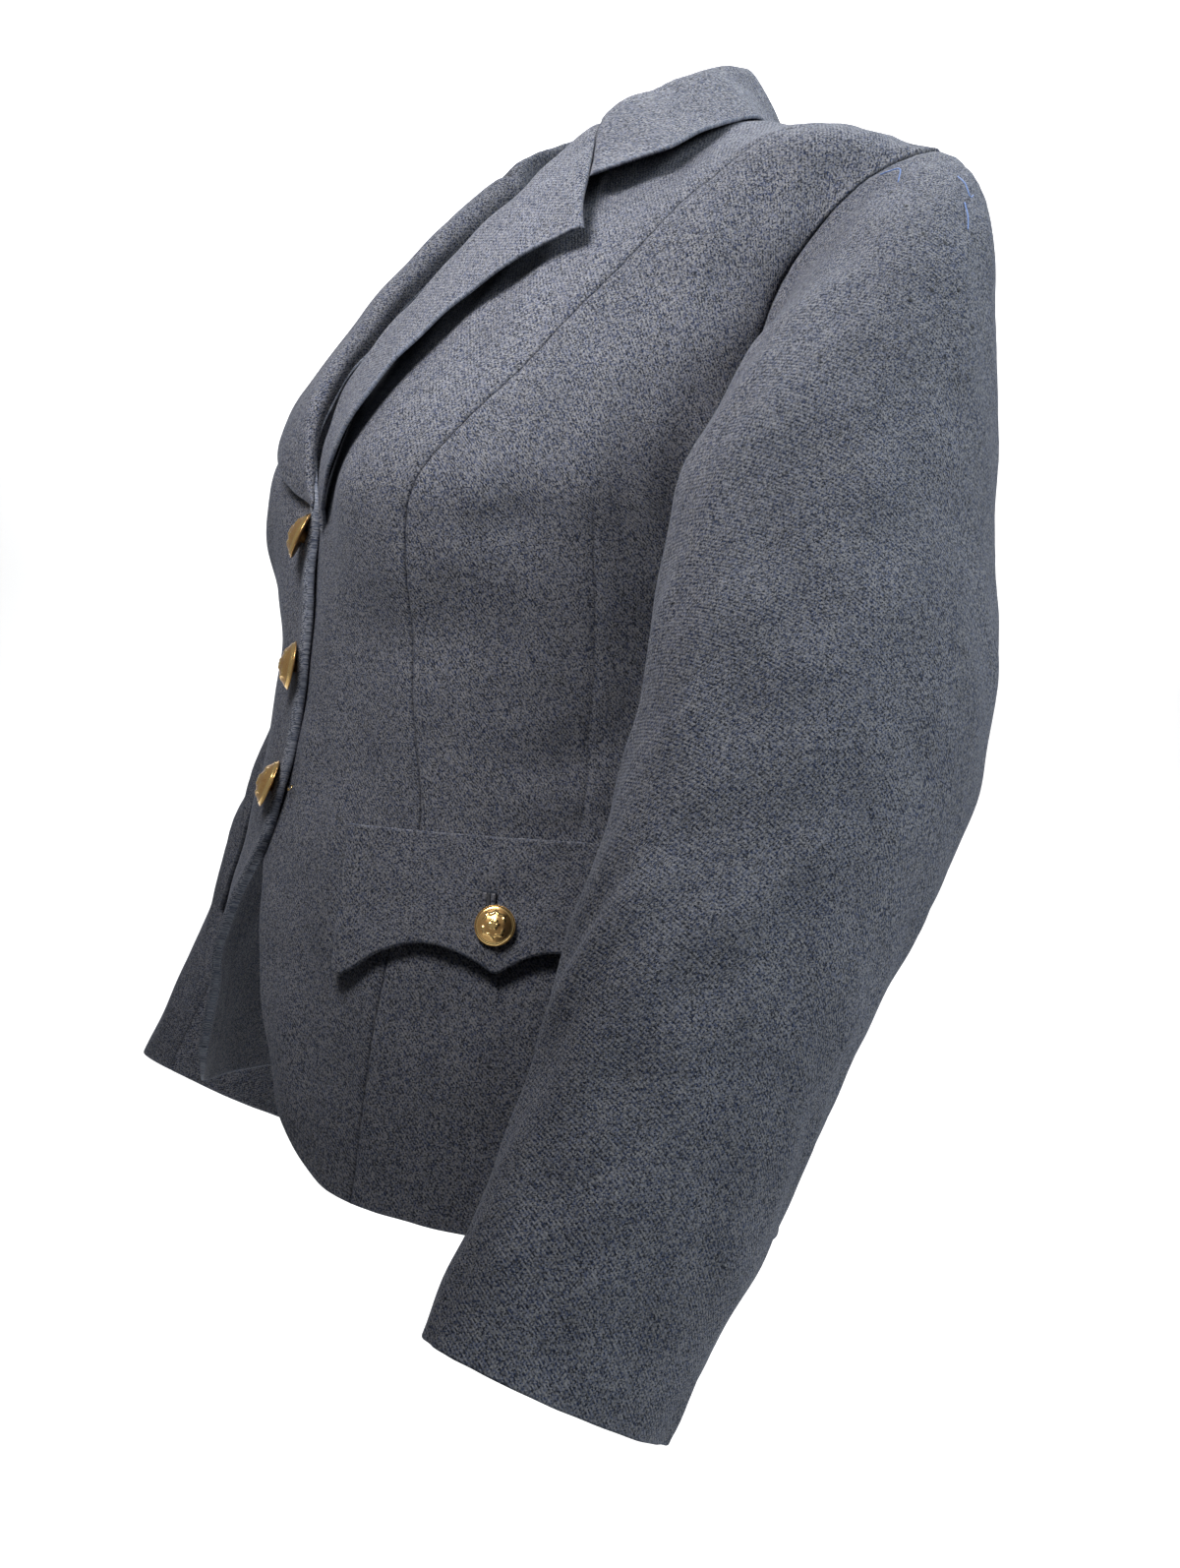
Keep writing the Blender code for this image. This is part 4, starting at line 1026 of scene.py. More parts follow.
@dataclass(frozen=True)
class TwillFinish:
    """Blue-grey melange twill of one piece."""

    name: str = "melange_twill"
    dark: Triple = (0.0060, 0.0075, 0.0125)
    light: Triple = (0.172, 0.170, 0.178)
    blue: Triple = (0.030, 0.050, 0.125)
    worn: Triple = (0.17, 0.19, 0.24)
    # colour of the painted shade along seams and lines of shade
    seam: Triple = (0.008, 0.009, 0.013)
    roughness: float = 0.88
    rib_angle: float = 0.72
    rib_pitch: float = 0.00150
    rib_share: float = 0.20
    blue_share: float = 0.40
    bump: float = 0.25
    wear: float = 0.45
    seam_shade: float = 0.38
    yarn_depth: float = 0.0004
    rough_spread: float = 0.06
    yarn_range: Pair = (0.15, 0.85)
    cloud_scale: float = 11.0
    cloud_shade: Pair = (0.88, 1.10)

    def material(self, weave: NodeTree, wear: NodeTree) -> Material:
        """Make the finish.

        Args:
            weave: Shared twill group.
            wear: Shared border wear group.

        Returns:
            The material.
        """
        material, tools, shader = start_material(self.name)
        place = tools.add("ShaderNodeUVMap", uv_map="cloth").outputs[0]
        ribs = {"Rib Pitch": self.rib_pitch, "Rib Angle": self.rib_angle, "Rib Share": self.rib_share}
        cloth = tools.add("ShaderNodeGroup", {"Vector": place, **ribs}, node_tree=weave).outputs
        marks = {}
        for label in MARKS:
            mark = tools.add("ShaderNodeAttribute", attribute_name=label)
            marks[label.replace("_", " ").title()] = mark.outputs["Fac"]
        rub = tools.add("ShaderNodeGroup", {"Vector": place, **marks}, node_tree=wear).outputs
        yarn = tools.spread(cloth["Yarn"], self.yarn_range, (0.0, 1.0))
        colour = tools.mix(yarn, (*self.dark, 1.0), (*self.light, 1.0))
        colour = tools.mix(tools.maths("MULTIPLY", cloth["Blue"], self.blue_share), colour, (*self.blue, 1.0))
        shade = tools.spread(tools.noise(place, self.cloud_scale, 4.0, 0.5), (0.3, 0.7), self.cloud_shade)
        colour = tools.mix(1.0, colour, tools.vector(shade, shade, shade), "MULTIPLY")
        for mask, amount, tint in (("Worn", self.wear, self.worn), ("Shaded", self.seam_shade, self.seam)):
            colour = tools.mix(tools.maths("MULTIPLY", rub[mask], amount), colour, (*tint, 1.0))
        ends = (self.roughness + self.rough_spread, self.roughness - self.rough_spread)
        values = {
            "Base Color": colour,
            "Normal": tools.bump(cloth["Height"], self.bump, self.yarn_depth),
            "Roughness": tools.spread(cloth["Yarn"], (0.0, 1.0), ends),
            "Specular IOR Level": 0.20,
            "Sheen Weight": 0.06,
            "Sheen Roughness": 0.40,
            "Sheen Tint": (0.72, 0.80, 1.0, 1.0),
        }
        tools.feed(shader, values)
        return material


@dataclass(frozen=True)
class GiltFinish:
    """Polished gilt metal with slight tarnish in its hollows."""

    name: str = "polished_gilt"
    bright: Triple = (1.00, 0.68, 0.27)
    dull: Triple = (0.48, 0.18, 0.05)
    roughness: float = 0.15
    rougher: float = 0.30
    stain_scale: float = 700.0
    stain: float = 0.35

    def material(self) -> Material:
        """Make the finish."""
        material, tools, shader = start_material(self.name)
        hollow = tools.add("ShaderNodeAttribute", attribute_name="hollow").outputs["Fac"]
        spots = tools.noise(tools.add("ShaderNodeTexCoord").outputs["Object"], self.stain_scale, 3.0, 0.5)
        stain = tools.spread(spots, (0.52, 0.72), (0.0, self.stain))
        share = tools.maths("ADD", tools.maths("MULTIPLY", hollow, 0.65), stain)
        dulled = tools.spread(share, (0.0, 1.0), (0.0, 1.0))
        values = {
            "Base Color": tools.mix(dulled, (*self.bright, 1.0), (*self.dull, 1.0)),
            "Roughness": tools.spread(share, (0.0, 1.0), (self.roughness, self.roughness + self.rougher)),
            "Metallic": 1.0,
        }
        tools.feed(shader, values)
        return material


@dataclass(frozen=True)
class ThreadFinish:
    """Twisted sewing thread in one colour."""

    name: str
    colour: Triple
    roughness: float = 0.60
    twist_scale: float = 1500.0

    def material(self) -> Material:
        """Make the finish."""
        material, tools, shader = start_material(self.name)
        twist = tools.noise(tools.add("ShaderNodeTexCoord").outputs["Object"], self.twist_scale, 2.0, 0.5)
        darker = tuple(0.6 * part for part in self.colour)
        shade = tools.spread(twist, (0.3, 0.7), (0.0, 1.0))
        values = {
            "Base Color": tools.mix(shade, (*darker, 1.0), (*self.colour, 1.0)),
            "Normal": tools.bump(twist, 0.4, 0.0002),
            "Roughness": self.roughness,
            "Sheen Weight": 0.2,
        }
        tools.feed(shader, values)
        return material


@dataclass(frozen=True)
class Finishes:
    """Every material of the jacket, made once."""

    twill: Material
    sleeve_twill: Material
    collar_twill: Material
    edge_twill: Material
    flap_twill: Material
    gilt: Material
    dark_blue_thread: Material
    # near-black finish that paints the shade inside slits and needle holes
    dark_thread: Material
    blue_thread: Material

    @classmethod
    def make(cls) -> "Finishes":
        """Build the shared groups and the materials."""
        weave = SharedGroups.twill_weave()
        wear = SharedGroups.border_wear()
        return cls(
            twill=TwillFinish().material(weave, wear),
            sleeve_twill=TwillFinish("sleeve_twill", rib_angle=0.62, seam_shade=0.16).material(weave, wear),
            collar_twill=TwillFinish("collar_twill", rib_angle=-0.75).material(weave, wear),
            edge_twill=TwillFinish(
                "edge_twill",
                dark=(0.0080, 0.0110, 0.0190),
                light=(0.230, 0.235, 0.255),
                rib_angle=-0.30,
                rib_pitch=0.00125,
                blue_share=0.32,
                wear=0.40,
            ).material(weave, wear),
            # the flap finish paints a strong shadow line along the flap's front edge
            flap_twill=TwillFinish("flap_twill", wear=0.20, seam_shade=0.70).material(weave, wear),
            gilt=GiltFinish().material(),
            dark_blue_thread=ThreadFinish("dark_blue_thread", (0.035, 0.042, 0.065)).material(),
            # painted shade: near-black strands and discs set in slits and needle holes, where only shade
            # falls
            dark_thread=ThreadFinish("dark_thread", (0.012, 0.014, 0.020)).material(),
            blue_thread=ThreadFinish("blue_thread", (0.10, 0.19, 0.45)).material(),
        )


def put_on(
    piece: ClothPiece,
    material: Material,
    rests_on: Sequence[str],
    edge_material: Material | None = None,
) -> Object:
    """Build a cloth piece, hide the solid it stands for and attach it to the root.

    Args:
        piece: The piece to build.
        material: Its finish.
        rests_on: Not used.
        edge_material: Finish of its edge band.

    Returns:
        The finished object.
    """
    thing = piece.build()
    thing.data.materials.append(material)
    thing.data.materials.append(edge_material or material)
    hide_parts(piece.node)
    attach(thing, "root")
    return thing


@dataclass
class BodyPanels:
    """Fronts, side fronts and backs."""

    cut: JacketCut
    finishes: Finishes
    edge_bulge: float = 0.0014
    edge_roll: float = 0.0058
    edge_band: float = 0.0042
    # how far the painted shadow line lies inside the closing edge
    line_offset: float = 0.0074
    ridge: float = 0.0017
    hollow: float = 0.0016
    dart_depth: float = 0.0007
    dart_width: float = 0.0019
    # where a form lies from its border, and how far it spreads
    faced: Pair = (0.004, 0.030)
    rolled: Pair = (0.002, 0.009)
    bulge_at: Pair = (0.0040, 0.0050)
    ridge_at: Pair = (0.0018, 0.0017)
    hollow_at: Pair = (0.0140, 0.0075)
    ridge_end: Pair = (0.055, 0.045)
    dart: tuple[Pair, ...] = (
        (0.1985, -0.2400), (0.1975, -0.2600), (0.1950, -0.2810), (0.1915, -0.3000), (0.1898, -0.3270),
        (0.1895, -0.3450), (0.1930, -0.3700), (0.1955, -0.4000),
    )

    def lift(self, side: Side) -> OverCloth:
        """Creases and swell of one side, the same across all its panels."""
        swell = Unevenness(11 if side is Side.LEFT else 23)

        def over(girth: Array, z: Array) -> Array:
            """Height of the cloth above the body form."""
            total = swell.lift(girth, z) + self.cut.overlap_out(girth, z, side)
            for crease in BODY_CREASES[side]:
                total = total + crease.lift(girth, z)
            return total

        return over

    def normals(self, fields: Array) -> Array:
        """Normals of the body form."""
        here = self.cut.body.at(fields[..., 0], fields[..., 1])
        away = self.cut.body.at(fields[..., 0], fields[..., 1], 0.001) - here
        return unit(away)

    def piece(self, label: str, side: Side, grid: Array, borders: Borders) -> ClothPiece:
        """One panel from its (girth, z) grid."""
        return ClothPiece(
            name=f"{label}_{side.label}_twill",
            node=f"{label}_{side.label}",
            side=side,
            base=self.cut.body.at(grid[..., 0], grid[..., 1]),
            fields=grid,
            borders=borders,
            thickness=self.cut.cloth,
            lift=self.lift(side),
            normal_of=self.normals,
        )

    def front_thickness(self, overlap: float, roll: float) -> OverCloth:
        """Thickness of a front, fuller along its faced and rolled closing edge."""

        def thick(girth: Array, z: Array) -> Array:
            """Thickness at each place."""
            edge = self.edge_girth(overlap, z)
            near = 1 - ease((girth - edge - self.faced[0]) / self.faced[1])
            close = 1 - ease((girth - edge - self.rolled[0]) / self.rolled[1])
            low = np.clip((z - (self.cut.break_z - 0.005)) / 0.03, 0, 1)
            fuller = (self.cut.faced_edge - self.cut.cloth) * near + (roll - self.cut.faced_edge) * close
            return self.cut.cloth + fuller * (1 - low)

        return thick

    @staticmethod
    def edge_girth(overlap: float, z: Array) -> Array:
        """Girth of the closing edge and cutaway at height z."""
        return np.interp(-z, [0.400, 0.420, 0.448, 0.505, 0.550], [-overlap, -0.009, 0.009, 0.043, 0.074])

    def edge_line(self, girth: Array, z: Array) -> Array:
        """Signed distance from the line of shade beside the closing edge."""
        off = girth - self.edge_girth(self.cut.right_overlap, z) - self.line_offset
        past = np.maximum(z - self.cut.break_z, -0.425 - z)
        return np.where(past > 0, FAR, off)

    def closing_edge(self, piece: ClothPiece, far: Array) -> Array:
        """Full roll of cloth along the closing edge, below the break."""
        return self.edge_bulge * bell(far[2], *self.bulge_at)

    def armhole_ridge(self, piece: ClothPiece, far: Array) -> Array:
        """Pressed ridge along the top of the armhole, with a soft hollow before it."""
        down, last = far[0], far[3]
        near_top = 1 - ease((down - self.ridge_end[0]) / self.ridge_end[1])
        ridge = self.ridge * bell(last, *self.ridge_at)
        return (ridge - self.hollow * bell(last, *self.hollow_at)) * near_top

    def dart_offset(self, girth: Array, z: Array) -> Array:
        """Signed distance from the underarm dart, along which shade is painted; far above and below its ends.
        """
        line = np.array(self.dart)[::-1]
        off = girth - np.interp(z, line[:, 1], line[:, 0])
        past = np.maximum(z - self.dart[0][1], self.dart[-1][1] - z)
        return np.where(past > 0, FAR, off)

    def dart_trough(self, side: Side) -> OverCloth:
        """Creases of one side with the trough of its dart."""
        plain = self.lift(side)

        def over(girth: Array, z: Array) -> Array:
            """Height of the cloth above the body form."""
            off = self.dart_offset(girth, z)
            return plain(girth, z) - self.dart_depth * bell(off, 0.0, self.dart_width)

        return over

    def build(self, sewn_on: dict[Side, list[Object]]) -> None:
        """Make the six panels; sewn_on is not used."""
        seam = Edge.SEAM
        twill = self.finishes.twill
        for side in Side:
            sewn = Borders(seam, Edge.FOLD, seam, seam)
            cut = self.cut
            front = self.piece("front", side, cut.front(side, 60), Borders(seam, Edge.FOLD, Edge.FOLD, seam))
            front.thick_of = self.front_thickness(cut.overlap(side), self.edge_roll)
            if side is Side.RIGHT:
                front.shape_edge = self.closing_edge
                front.edge_band = self.edge_band
                # paints a shadow line beside the closing edge
                front.shade_line_of = self.edge_line
            behind = [f"back_{side.label}_twill"]
            put_on(front, twill, behind, self.finishes.edge_twill)
            panel = self.piece("side_front", side, cut.side_front(80), sewn)
            panel.lift = self.dart_trough(side)
            # paints shade along the underarm dart
            panel.shade_line_of = self.dart_offset
            panel.shape_edge = self.armhole_ridge
            panel.spacing = 0.0022
            put_on(panel, twill, [f"front_{side.label}_twill"])
            back = self.piece("back", side, cut.back(90), sewn)
            put_on(back, twill, ["collar_twill"])


@dataclass
class Sleeves:
    """Top and under sleeve of each arm."""

    cut: JacketCut
    finishes: Finishes
    front_seam: float = 128.0
    back_seam: float = 238.0
    round_scale: float = 0.00118
    roll: float = 0.0016
    roll_place: float = 0.0055
    roll_width: float = 0.0045

    def lift(self, side: Side) -> OverCloth:
        """Creases and swell round one arm; the map repeats after a full turn."""
        swell = Unevenness(31 if side is Side.LEFT else 43, height=0.00026)
        turn = 360 * self.round_scale

        def over(u: Array, v: Array) -> Array:
            """Height of the cloth above the plain sleeve."""
            total = swell.lift(u, v) * ease(v / 0.03)
            for crease in SLEEVE_CREASES[side]:
                for shift in (-turn, 0.0, turn):
                    total = total + crease.lift(u + shift, v)
            return total

        return over

    def head_roll(self, piece: ClothPiece, far: Array) -> Array:
        """Roll of cloth pushed up beside the armhole seam."""
        return self.roll_height(far[0])

    def roll_height(self, down: Array | float) -> Array:
        """Height of that roll at a distance down from the seam."""
        return self.roll * bell(down, self.roll_place, self.roll_width)

    def piece(self, label: str, side: Side, first: float, last: float, columns: int) -> ClothPiece:
        """One sleeve piece between two angles."""
        form = SleeveForm(self.cut, side)
        wide = np.linspace(first, last, columns)
        grid = form.grid(wide, 70, 130)
        run = run_along(grid)
        around = np.broadcast_to(wide[None] * self.round_scale, run.shape)
        piece = ClothPiece(
            name=f"{label}_{side.label}_twill",
            node=f"{label}_{side.label}",
            side=side,
            base=grid,
            fields=np.stack([around, run], axis=2),
            borders=Borders(Edge.SEAM, Edge.FOLD, Edge.SEAM, Edge.SEAM),
            thickness=self.cut.cloth,
            spacing=0.0045,
            lift=self.lift(side),
            shape_edge=self.head_roll,
        )
        probe = grid_normals(grid)
        centre = grid.mean(axis=1, keepdims=True)
        if np.mean(np.sum(probe * (grid - centre), axis=2)) < 0:
            piece.base = piece.base[:, ::-1]
            piece.fields = piece.fields[:, ::-1]
        return piece

    def build(self, sewn_on: dict[Side, list[Object]]) -> None:
        """Make both pieces of both sleeves; sewn_on is not used."""
        gap = 0.03
        for side in Side:
            top = self.piece("top_sleeve", side, self.back_seam - 360 + gap, self.front_seam - gap, 120)
            panel = [f"side_front_{side.label}_twill"]
            put_on(top, self.finishes.sleeve_twill, panel)
            under = self.piece("under_sleeve", side, self.front_seam + gap, self.back_seam - gap, 60)
            put_on(under, self.finishes.sleeve_twill, [f"top_sleeve_{side.label}_twill"])


@dataclass
class Lapels:
    """Turned-back lapel of each front."""

    cut: JacketCut
    finishes: Finishes
    root_z: Pair = (-0.0390, -0.2600)
    root_min: float = 0.0190
    right_rise: float = 0.0120
    least: float = 0.0004
    end_lifts: tuple[Pair, Pair] = ((0.0050, 0.0006), (0.0042, 0.0005))
    # across, bulge, rise at the root, rise at the edge
    stations: tuple[tuple[float, ...], ...] = (
        (0.00, 0.0000, 0.03, 0.0),
        (0.00, -0.0042, 0.50, 0.0),
        (0.03, -0.0028, 0.92, 0.0),
        (0.14, 0.0000, 1.04, 0.0),
        (0.36, 0.0000, 0.86, 0.16),
        (0.68, 0.0000, 0.38, 0.64),
        (1.00, 0.0000, 0.0, 1.0),
    )

    def points(self, parts: Array, stations: Array, side: Side) -> Array:
        """Points of a lapel.

        Args:
            parts: Places from the gorge (0) to the break (1).
            stations: Places from the root (0) to the edge.
            side: Wearer's side.

        Returns:
            Grid of points on the wearer's left.
        """
        cut = self.cut
        dense = even_curve(cut.lapel_edge, 200)
        nearest = self.root_min if side is Side.LEFT else 0.0006 - cut.right_overlap
        lowest = self.root_z[1] if side is Side.LEFT else self.root_z[1] + self.right_rise
        edge = np.stack([np.interp(parts, np.linspace(0, 1, 200), dense[:, k]) for k in range(2)], axis=1)
        edge[:, 0] -= (self.root_min - nearest) * parts**4
        edge[:, 1] += (lowest - self.root_z[1]) * parts**4
        root_z = self.root_z[0] + (lowest - self.root_z[0]) * parts
        roll = np.array(cut.roll_line)[::-1]
        root_g = np.maximum(np.interp(root_z, roll[:, 1], roll[:, 0]), nearest)
        root = np.stack([root_g, root_z], axis=1)
        ends = self.end_lifts
        root_lift = np.interp(parts, [0.0, 0.5, 0.8, 0.92, 1.0], [0.0185, 0.0140, 0.0090, *ends[0]])
        places = [0.0, 0.15, 0.5, 0.8, 0.92, 1.0]
        edge_lift = np.interp(parts, places, [0.0100, 0.0120, 0.0120, 0.0080, *ends[1]])
        profile = smooth_rows(self.stations, stations)
        across = profile[:, 0]
        bulge = profile[:, 1] * (root_lift / 0.0150)[:, None]
        girth = root[:, :1] * (1 - across) + edge[:, :1] * across + bulge
        z = root[:, 1:] * (1 - across) + edge[:, 1:] * across
        out = root_lift[:, None] * profile[:, 2] + edge_lift[:, None] * profile[:, 3]
        out = np.maximum(out, self.least) + cut.overlap_out(girth, z, side)
        return cut.body.at(girth, z, out)

    def thinned_end(self, length: float) -> OverCloth:
        """Thickness of a lapel, that thins out where it runs into the front."""

        def thick(across: Array, down: Array) -> Array:
            """Thickness at each place."""
            return self.cut.cloth * (0.35 + 0.65 * ease((length + down) / 0.022))

        return thick

    def build(self) -> None:
        """Make both lapels."""
        for side in Side:
            points = self.points(np.linspace(0, 1, 120), np.linspace(0, len(self.stations) - 1, 90), side)
            down = run_along(points)
            across = run_along(points, 1)
            swell = Unevenness(51 if side is Side.LEFT else 57, height=0.00014, shortest=0.03, longest=0.08)
            piece = ClothPiece(
                name=f"lapel_{side.label}_twill",
                node=f"lapel_{side.label}",
                side=side,
                base=points[:, ::-1],
                fields=np.stack([across, -down], axis=2)[:, ::-1],
                borders=Borders(Edge.SEAM, Edge.FOLD, Edge.FOLD, Edge.TUCKED),
                thickness=self.cut.cloth,
                spacing=0.0030,
                lift=swell.lift,
                thick_of=self.thinned_end(float(down.max())),
            )
            put_on(piece, self.finishes.collar_twill, [f"front_{side.label}_twill"])


@dataclass
class Collar:
    """Turned-down collar, from one gorge round the neck to the other."""

    cut: JacketCut
    finishes: Finishes
    lapels: Lapels
    notch_part: float = 4.72
    gorge_gap: float = 0.0004
    rounding: float = 0.0045
    # fold x, y, z and edge x, y, z from the centre back round to the gorge
    stations: tuple[tuple[float, ...], ...] = (
        (0.000, 0.0530, 0.0280, 0.000, 0.0770, -0.0110),
        (0.026, 0.0500, 0.0275, 0.035, 0.0720, -0.0120),
        (0.049, 0.0420, 0.0245, 0.069, 0.0560, -0.0120),
        (0.065, 0.0240, 0.0185, 0.095, 0.0350, -0.0165),
        (0.069, 0.0000, 0.0080, 0.110, 0.0140, -0.0245),
        (0.067, -0.0190, -0.0035, 0.119, -0.0110, -0.0342),
        (0.063, -0.0350, -0.0120, 0.121, -0.0370, -0.0518),
        (0.061, -0.0400, -0.0150, 0.117, -0.0470, -0.0592),
        (0.059, -0.0440, -0.0220, 0.092, -0.0725, -0.0717),
    )
    # shares of root, fold, edge and outward spread
    shape: tuple[tuple[float, ...], ...] = (
        (1.00, 0.00, 0.00, 0.0),
        (0.52, 0.48, 0.00, 0.0),
        (0.12, 0.92, -0.04, 0.0),
        (0.00, 1.04, -0.04, 0.3),
        (-0.06, 0.92, 0.14, 1.0),
        (-0.04, 0.55, 0.49, 1.0),
        (-0.02, 0.24, 0.78, 0.6),
        (0.00, 0.00, 1.00, 0.0),
    )

    def neck_curve(self, count: int) -> Array:
        """Points just above the neckline, from the centre back to the gorge."""
        cut = self.cut
        body = cut.body
        turn = np.linspace(0, 1, 60)
        z = cut.neck_point_z + (cut.back_neck_z - cut.neck_point_z) * np.sin(turn * math.pi / 2)
        back = np.stack([body.side_at(z) + (body.half_at(z) - body.side_at(z)) * turn, z], axis=1)[::-1]
        front = even_curve(cut.front_outline(cut.right_overlap, (3, 10, 5, 9))[:3], 20)
        line = np.concatenate([back, front[1:]])
        return even_curve(body.at(line[:, 0], line[:, 1], 0.0008), count)

    def half(self, columns: int, rows: int, side: Side) -> Array:
        """Half of the collar from the centre back to one gorge, on the wearer's left."""
        line = smooth_rows(self.stations, np.linspace(0, len(self.stations) - 1, columns))
        line[0, 0] = 0.0
        line[0, 3] = 0.0
        root = self.neck_curve(columns)
        fold = line[:, 0:3]
        edge = line[:, 3:6]
        outward = edge - root
        outward = unit(outward)
        shape = smooth_rows(self.shape, np.linspace(0, len(self.shape) - 1, rows))
        points = root[:, None] * shape[None, :, 0:1] + fold[:, None] * shape[None, :, 1:2]
        points = points + edge[:, None] * shape[None, :, 2:3]
        points = points + outward[:, None] * shape[None, :, 3:4] * self.rounding
        change = self.gorge_row(rows, side) - points[-1]
        fade = ease((np.linspace(0, 1, columns) - 0.60) / 0.40)
        points = points + fade[:, None, None] * change[None]
        points[0, :, 0] = 0.0
        return points

    def gorge_row(self, count: int, side: Side) -> Array:
        """The lapel's top row from its root to the notch, moved up clear of it."""
        stations = np.linspace(0, self.notch_part, count)
        rows = self.lapels.points(np.linspace(0, 1, 12)[:2], stations, side)
        along = np.gradient(rows[0], axis=0)
        along = unit(along)
        step = rows[0] - rows[1]
        step = step - along * np.sum(step * along, axis=1, keepdims=True)
        return rows[0] + unit(step) * self.gorge_gap

    def waves(self, u: Array, v: Array) -> Array:
        """Long soft bends of the collar's fall beside and behind the neck."""
        total = Unevenness(61, height=0.00018, shortest=0.03, longest=0.09).lift(u, v)
        fall = ease((v - 0.045) / 0.02)
        for at, wide, height in ((0.112, 0.012, 0.0022), (0.086, 0.010, -0.0018), (-0.108, 0.013, 0.0020)):
            total = total + height * bell(u, at, wide) * fall
        return total

    def build(self) -> None:
        """Make the collar."""
        columns = 110
        rows = 80
        left = self.half(columns, rows, Side.LEFT)
        right = self.half(columns, rows, Side.RIGHT) * Side.RIGHT.mirror
        points = np.concatenate([right[:0:-1], left])
        round_neck = run_along(points)
        middle = round_neck[:, rows // 2]
        middle = middle - middle[columns - 1]
        around = np.broadcast_to(middle[:, None], points.shape[:2])
        down = run_along(points, 1)
        base = points.transpose(1, 0, 2)
        fields = np.stack([around, down], axis=2).transpose(1, 0, 2)
        if grid_normals(base)[-3, columns - 1, 1] < 0:
            base = base[:, ::-1]
            fields = fields[:, ::-1]
        piece = ClothPiece(
            name="collar_twill",
            node="collar",
            side=Side.LEFT,
            base=base,
            fields=fields,
            borders=Borders(Edge.TUCKED, Edge.FOLD, Edge.SEAM, Edge.SEAM),
            thickness=self.cut.cloth,
            spacing=0.0030,
            lift=self.waves,
        )
        put_on(piece, self.finishes.collar_twill, ["back_left_twill", "back_right_twill"])


@dataclass
class PocketFlaps:
    """Scalloped flap on each hip."""

    cut: JacketCut
    finishes: Finishes
    thickness: float = 0.0026
    top: tuple[Pair, Pair] = ((0.0790, -0.4062), (0.2600, -0.3975))
    stand_off: float = 0.0035
    front_gap: float = 0.0012
    least_gap: float = 0.0005
    bend: float = 1.4
    lower: tuple[Pair, ...] = (
        (0.0970, -0.4745), (0.1015, -0.4778), (0.1065, -0.4755), (0.1120, -0.4713), (0.1200, -0.4642),
        (0.1290, -0.4598), (0.1380, -0.4567), (0.1475, -0.4562), (0.1575, -0.4577), (0.1675, -0.4607),
        (0.1735, -0.4632), (0.1790, -0.4654), (0.1835, -0.4620), (0.1925, -0.4558), (0.2025, -0.4533),
        (0.2140, -0.4543), (0.2260, -0.4600), (0.2370, -0.4690), (0.2440, -0.4745), (0.2490, -0.4762),
        (0.2530, -0.4730),
    )

    def front_line(self, girth: Array, z: Array) -> Array:
        """Signed distance from the painted shadow line along the flap's front edge."""
        edge = np.interp(-z, [-self.top[0][1], -self.lower[0][1]], [self.top[0][0], self.lower[0][0]])
        return girth - edge - 0.0002

    def height(self, girth: Array, z: Array) -> Array:
        """Height of the flap's outer face over the body form, without its swell."""
        upper = even_curve(self.top, 60)
        lower = even_curve(self.lower, 200)
        top_z = np.interp(girth, upper[:, 0], upper[:, 1])
        low_z = np.interp(girth, lower[:, 0], lower[:, 1])
        part = np.clip((top_z - z) / (top_z - low_z), 0, 1)
        return self.stand_off * part**self.bend + self.least_gap + self.thickness

    def build(self, sewn_on: dict[Side, list[Object]]) -> None:
        """Make both flaps; sewn_on is not used."""
        columns = 150
        rows = 50
        body = self.cut.body
        lower = even_curve(self.lower, columns)
        upper = even_curve(self.top, columns)
        part = np.linspace(0, 1, rows)[:, None, None]
        grid = upper[None] * (1 - part) + lower[None] * part
        for side in Side:
            open_front = self.front_gap * np.exp(-np.linspace(0, 12, columns))[None]
            lift = self.stand_off * part[:, :, 0] ** self.bend + self.least_gap + self.thickness + open_front
            lift = np.broadcast_to(lift, grid.shape[:2])
            swell = Unevenness(71 if side is Side.LEFT else 73, height=0.00012, shortest=0.02, longest=0.07)
            piece = ClothPiece(
                # paints a shadow line along the front edge
                shade_line_of=self.front_line,
                name=f"pocket_flap_{side.label}_twill",
                node=f"pocket_flap_{side.label}",
                side=side,
                base=body.at(grid[..., 0], grid[..., 1], lift)[:, ::-1],
                fields=grid[:, ::-1],
                borders=Borders(Edge.FOLD, Edge.FOLD, Edge.FOLD, Edge.FOLD),
                thickness=self.thickness,
                spacing=0.0026,
                lift=swell.lift,
            )
            below = [f"front_{side.label}_twill"]
            put_on(piece, self.finishes.flap_twill, below)


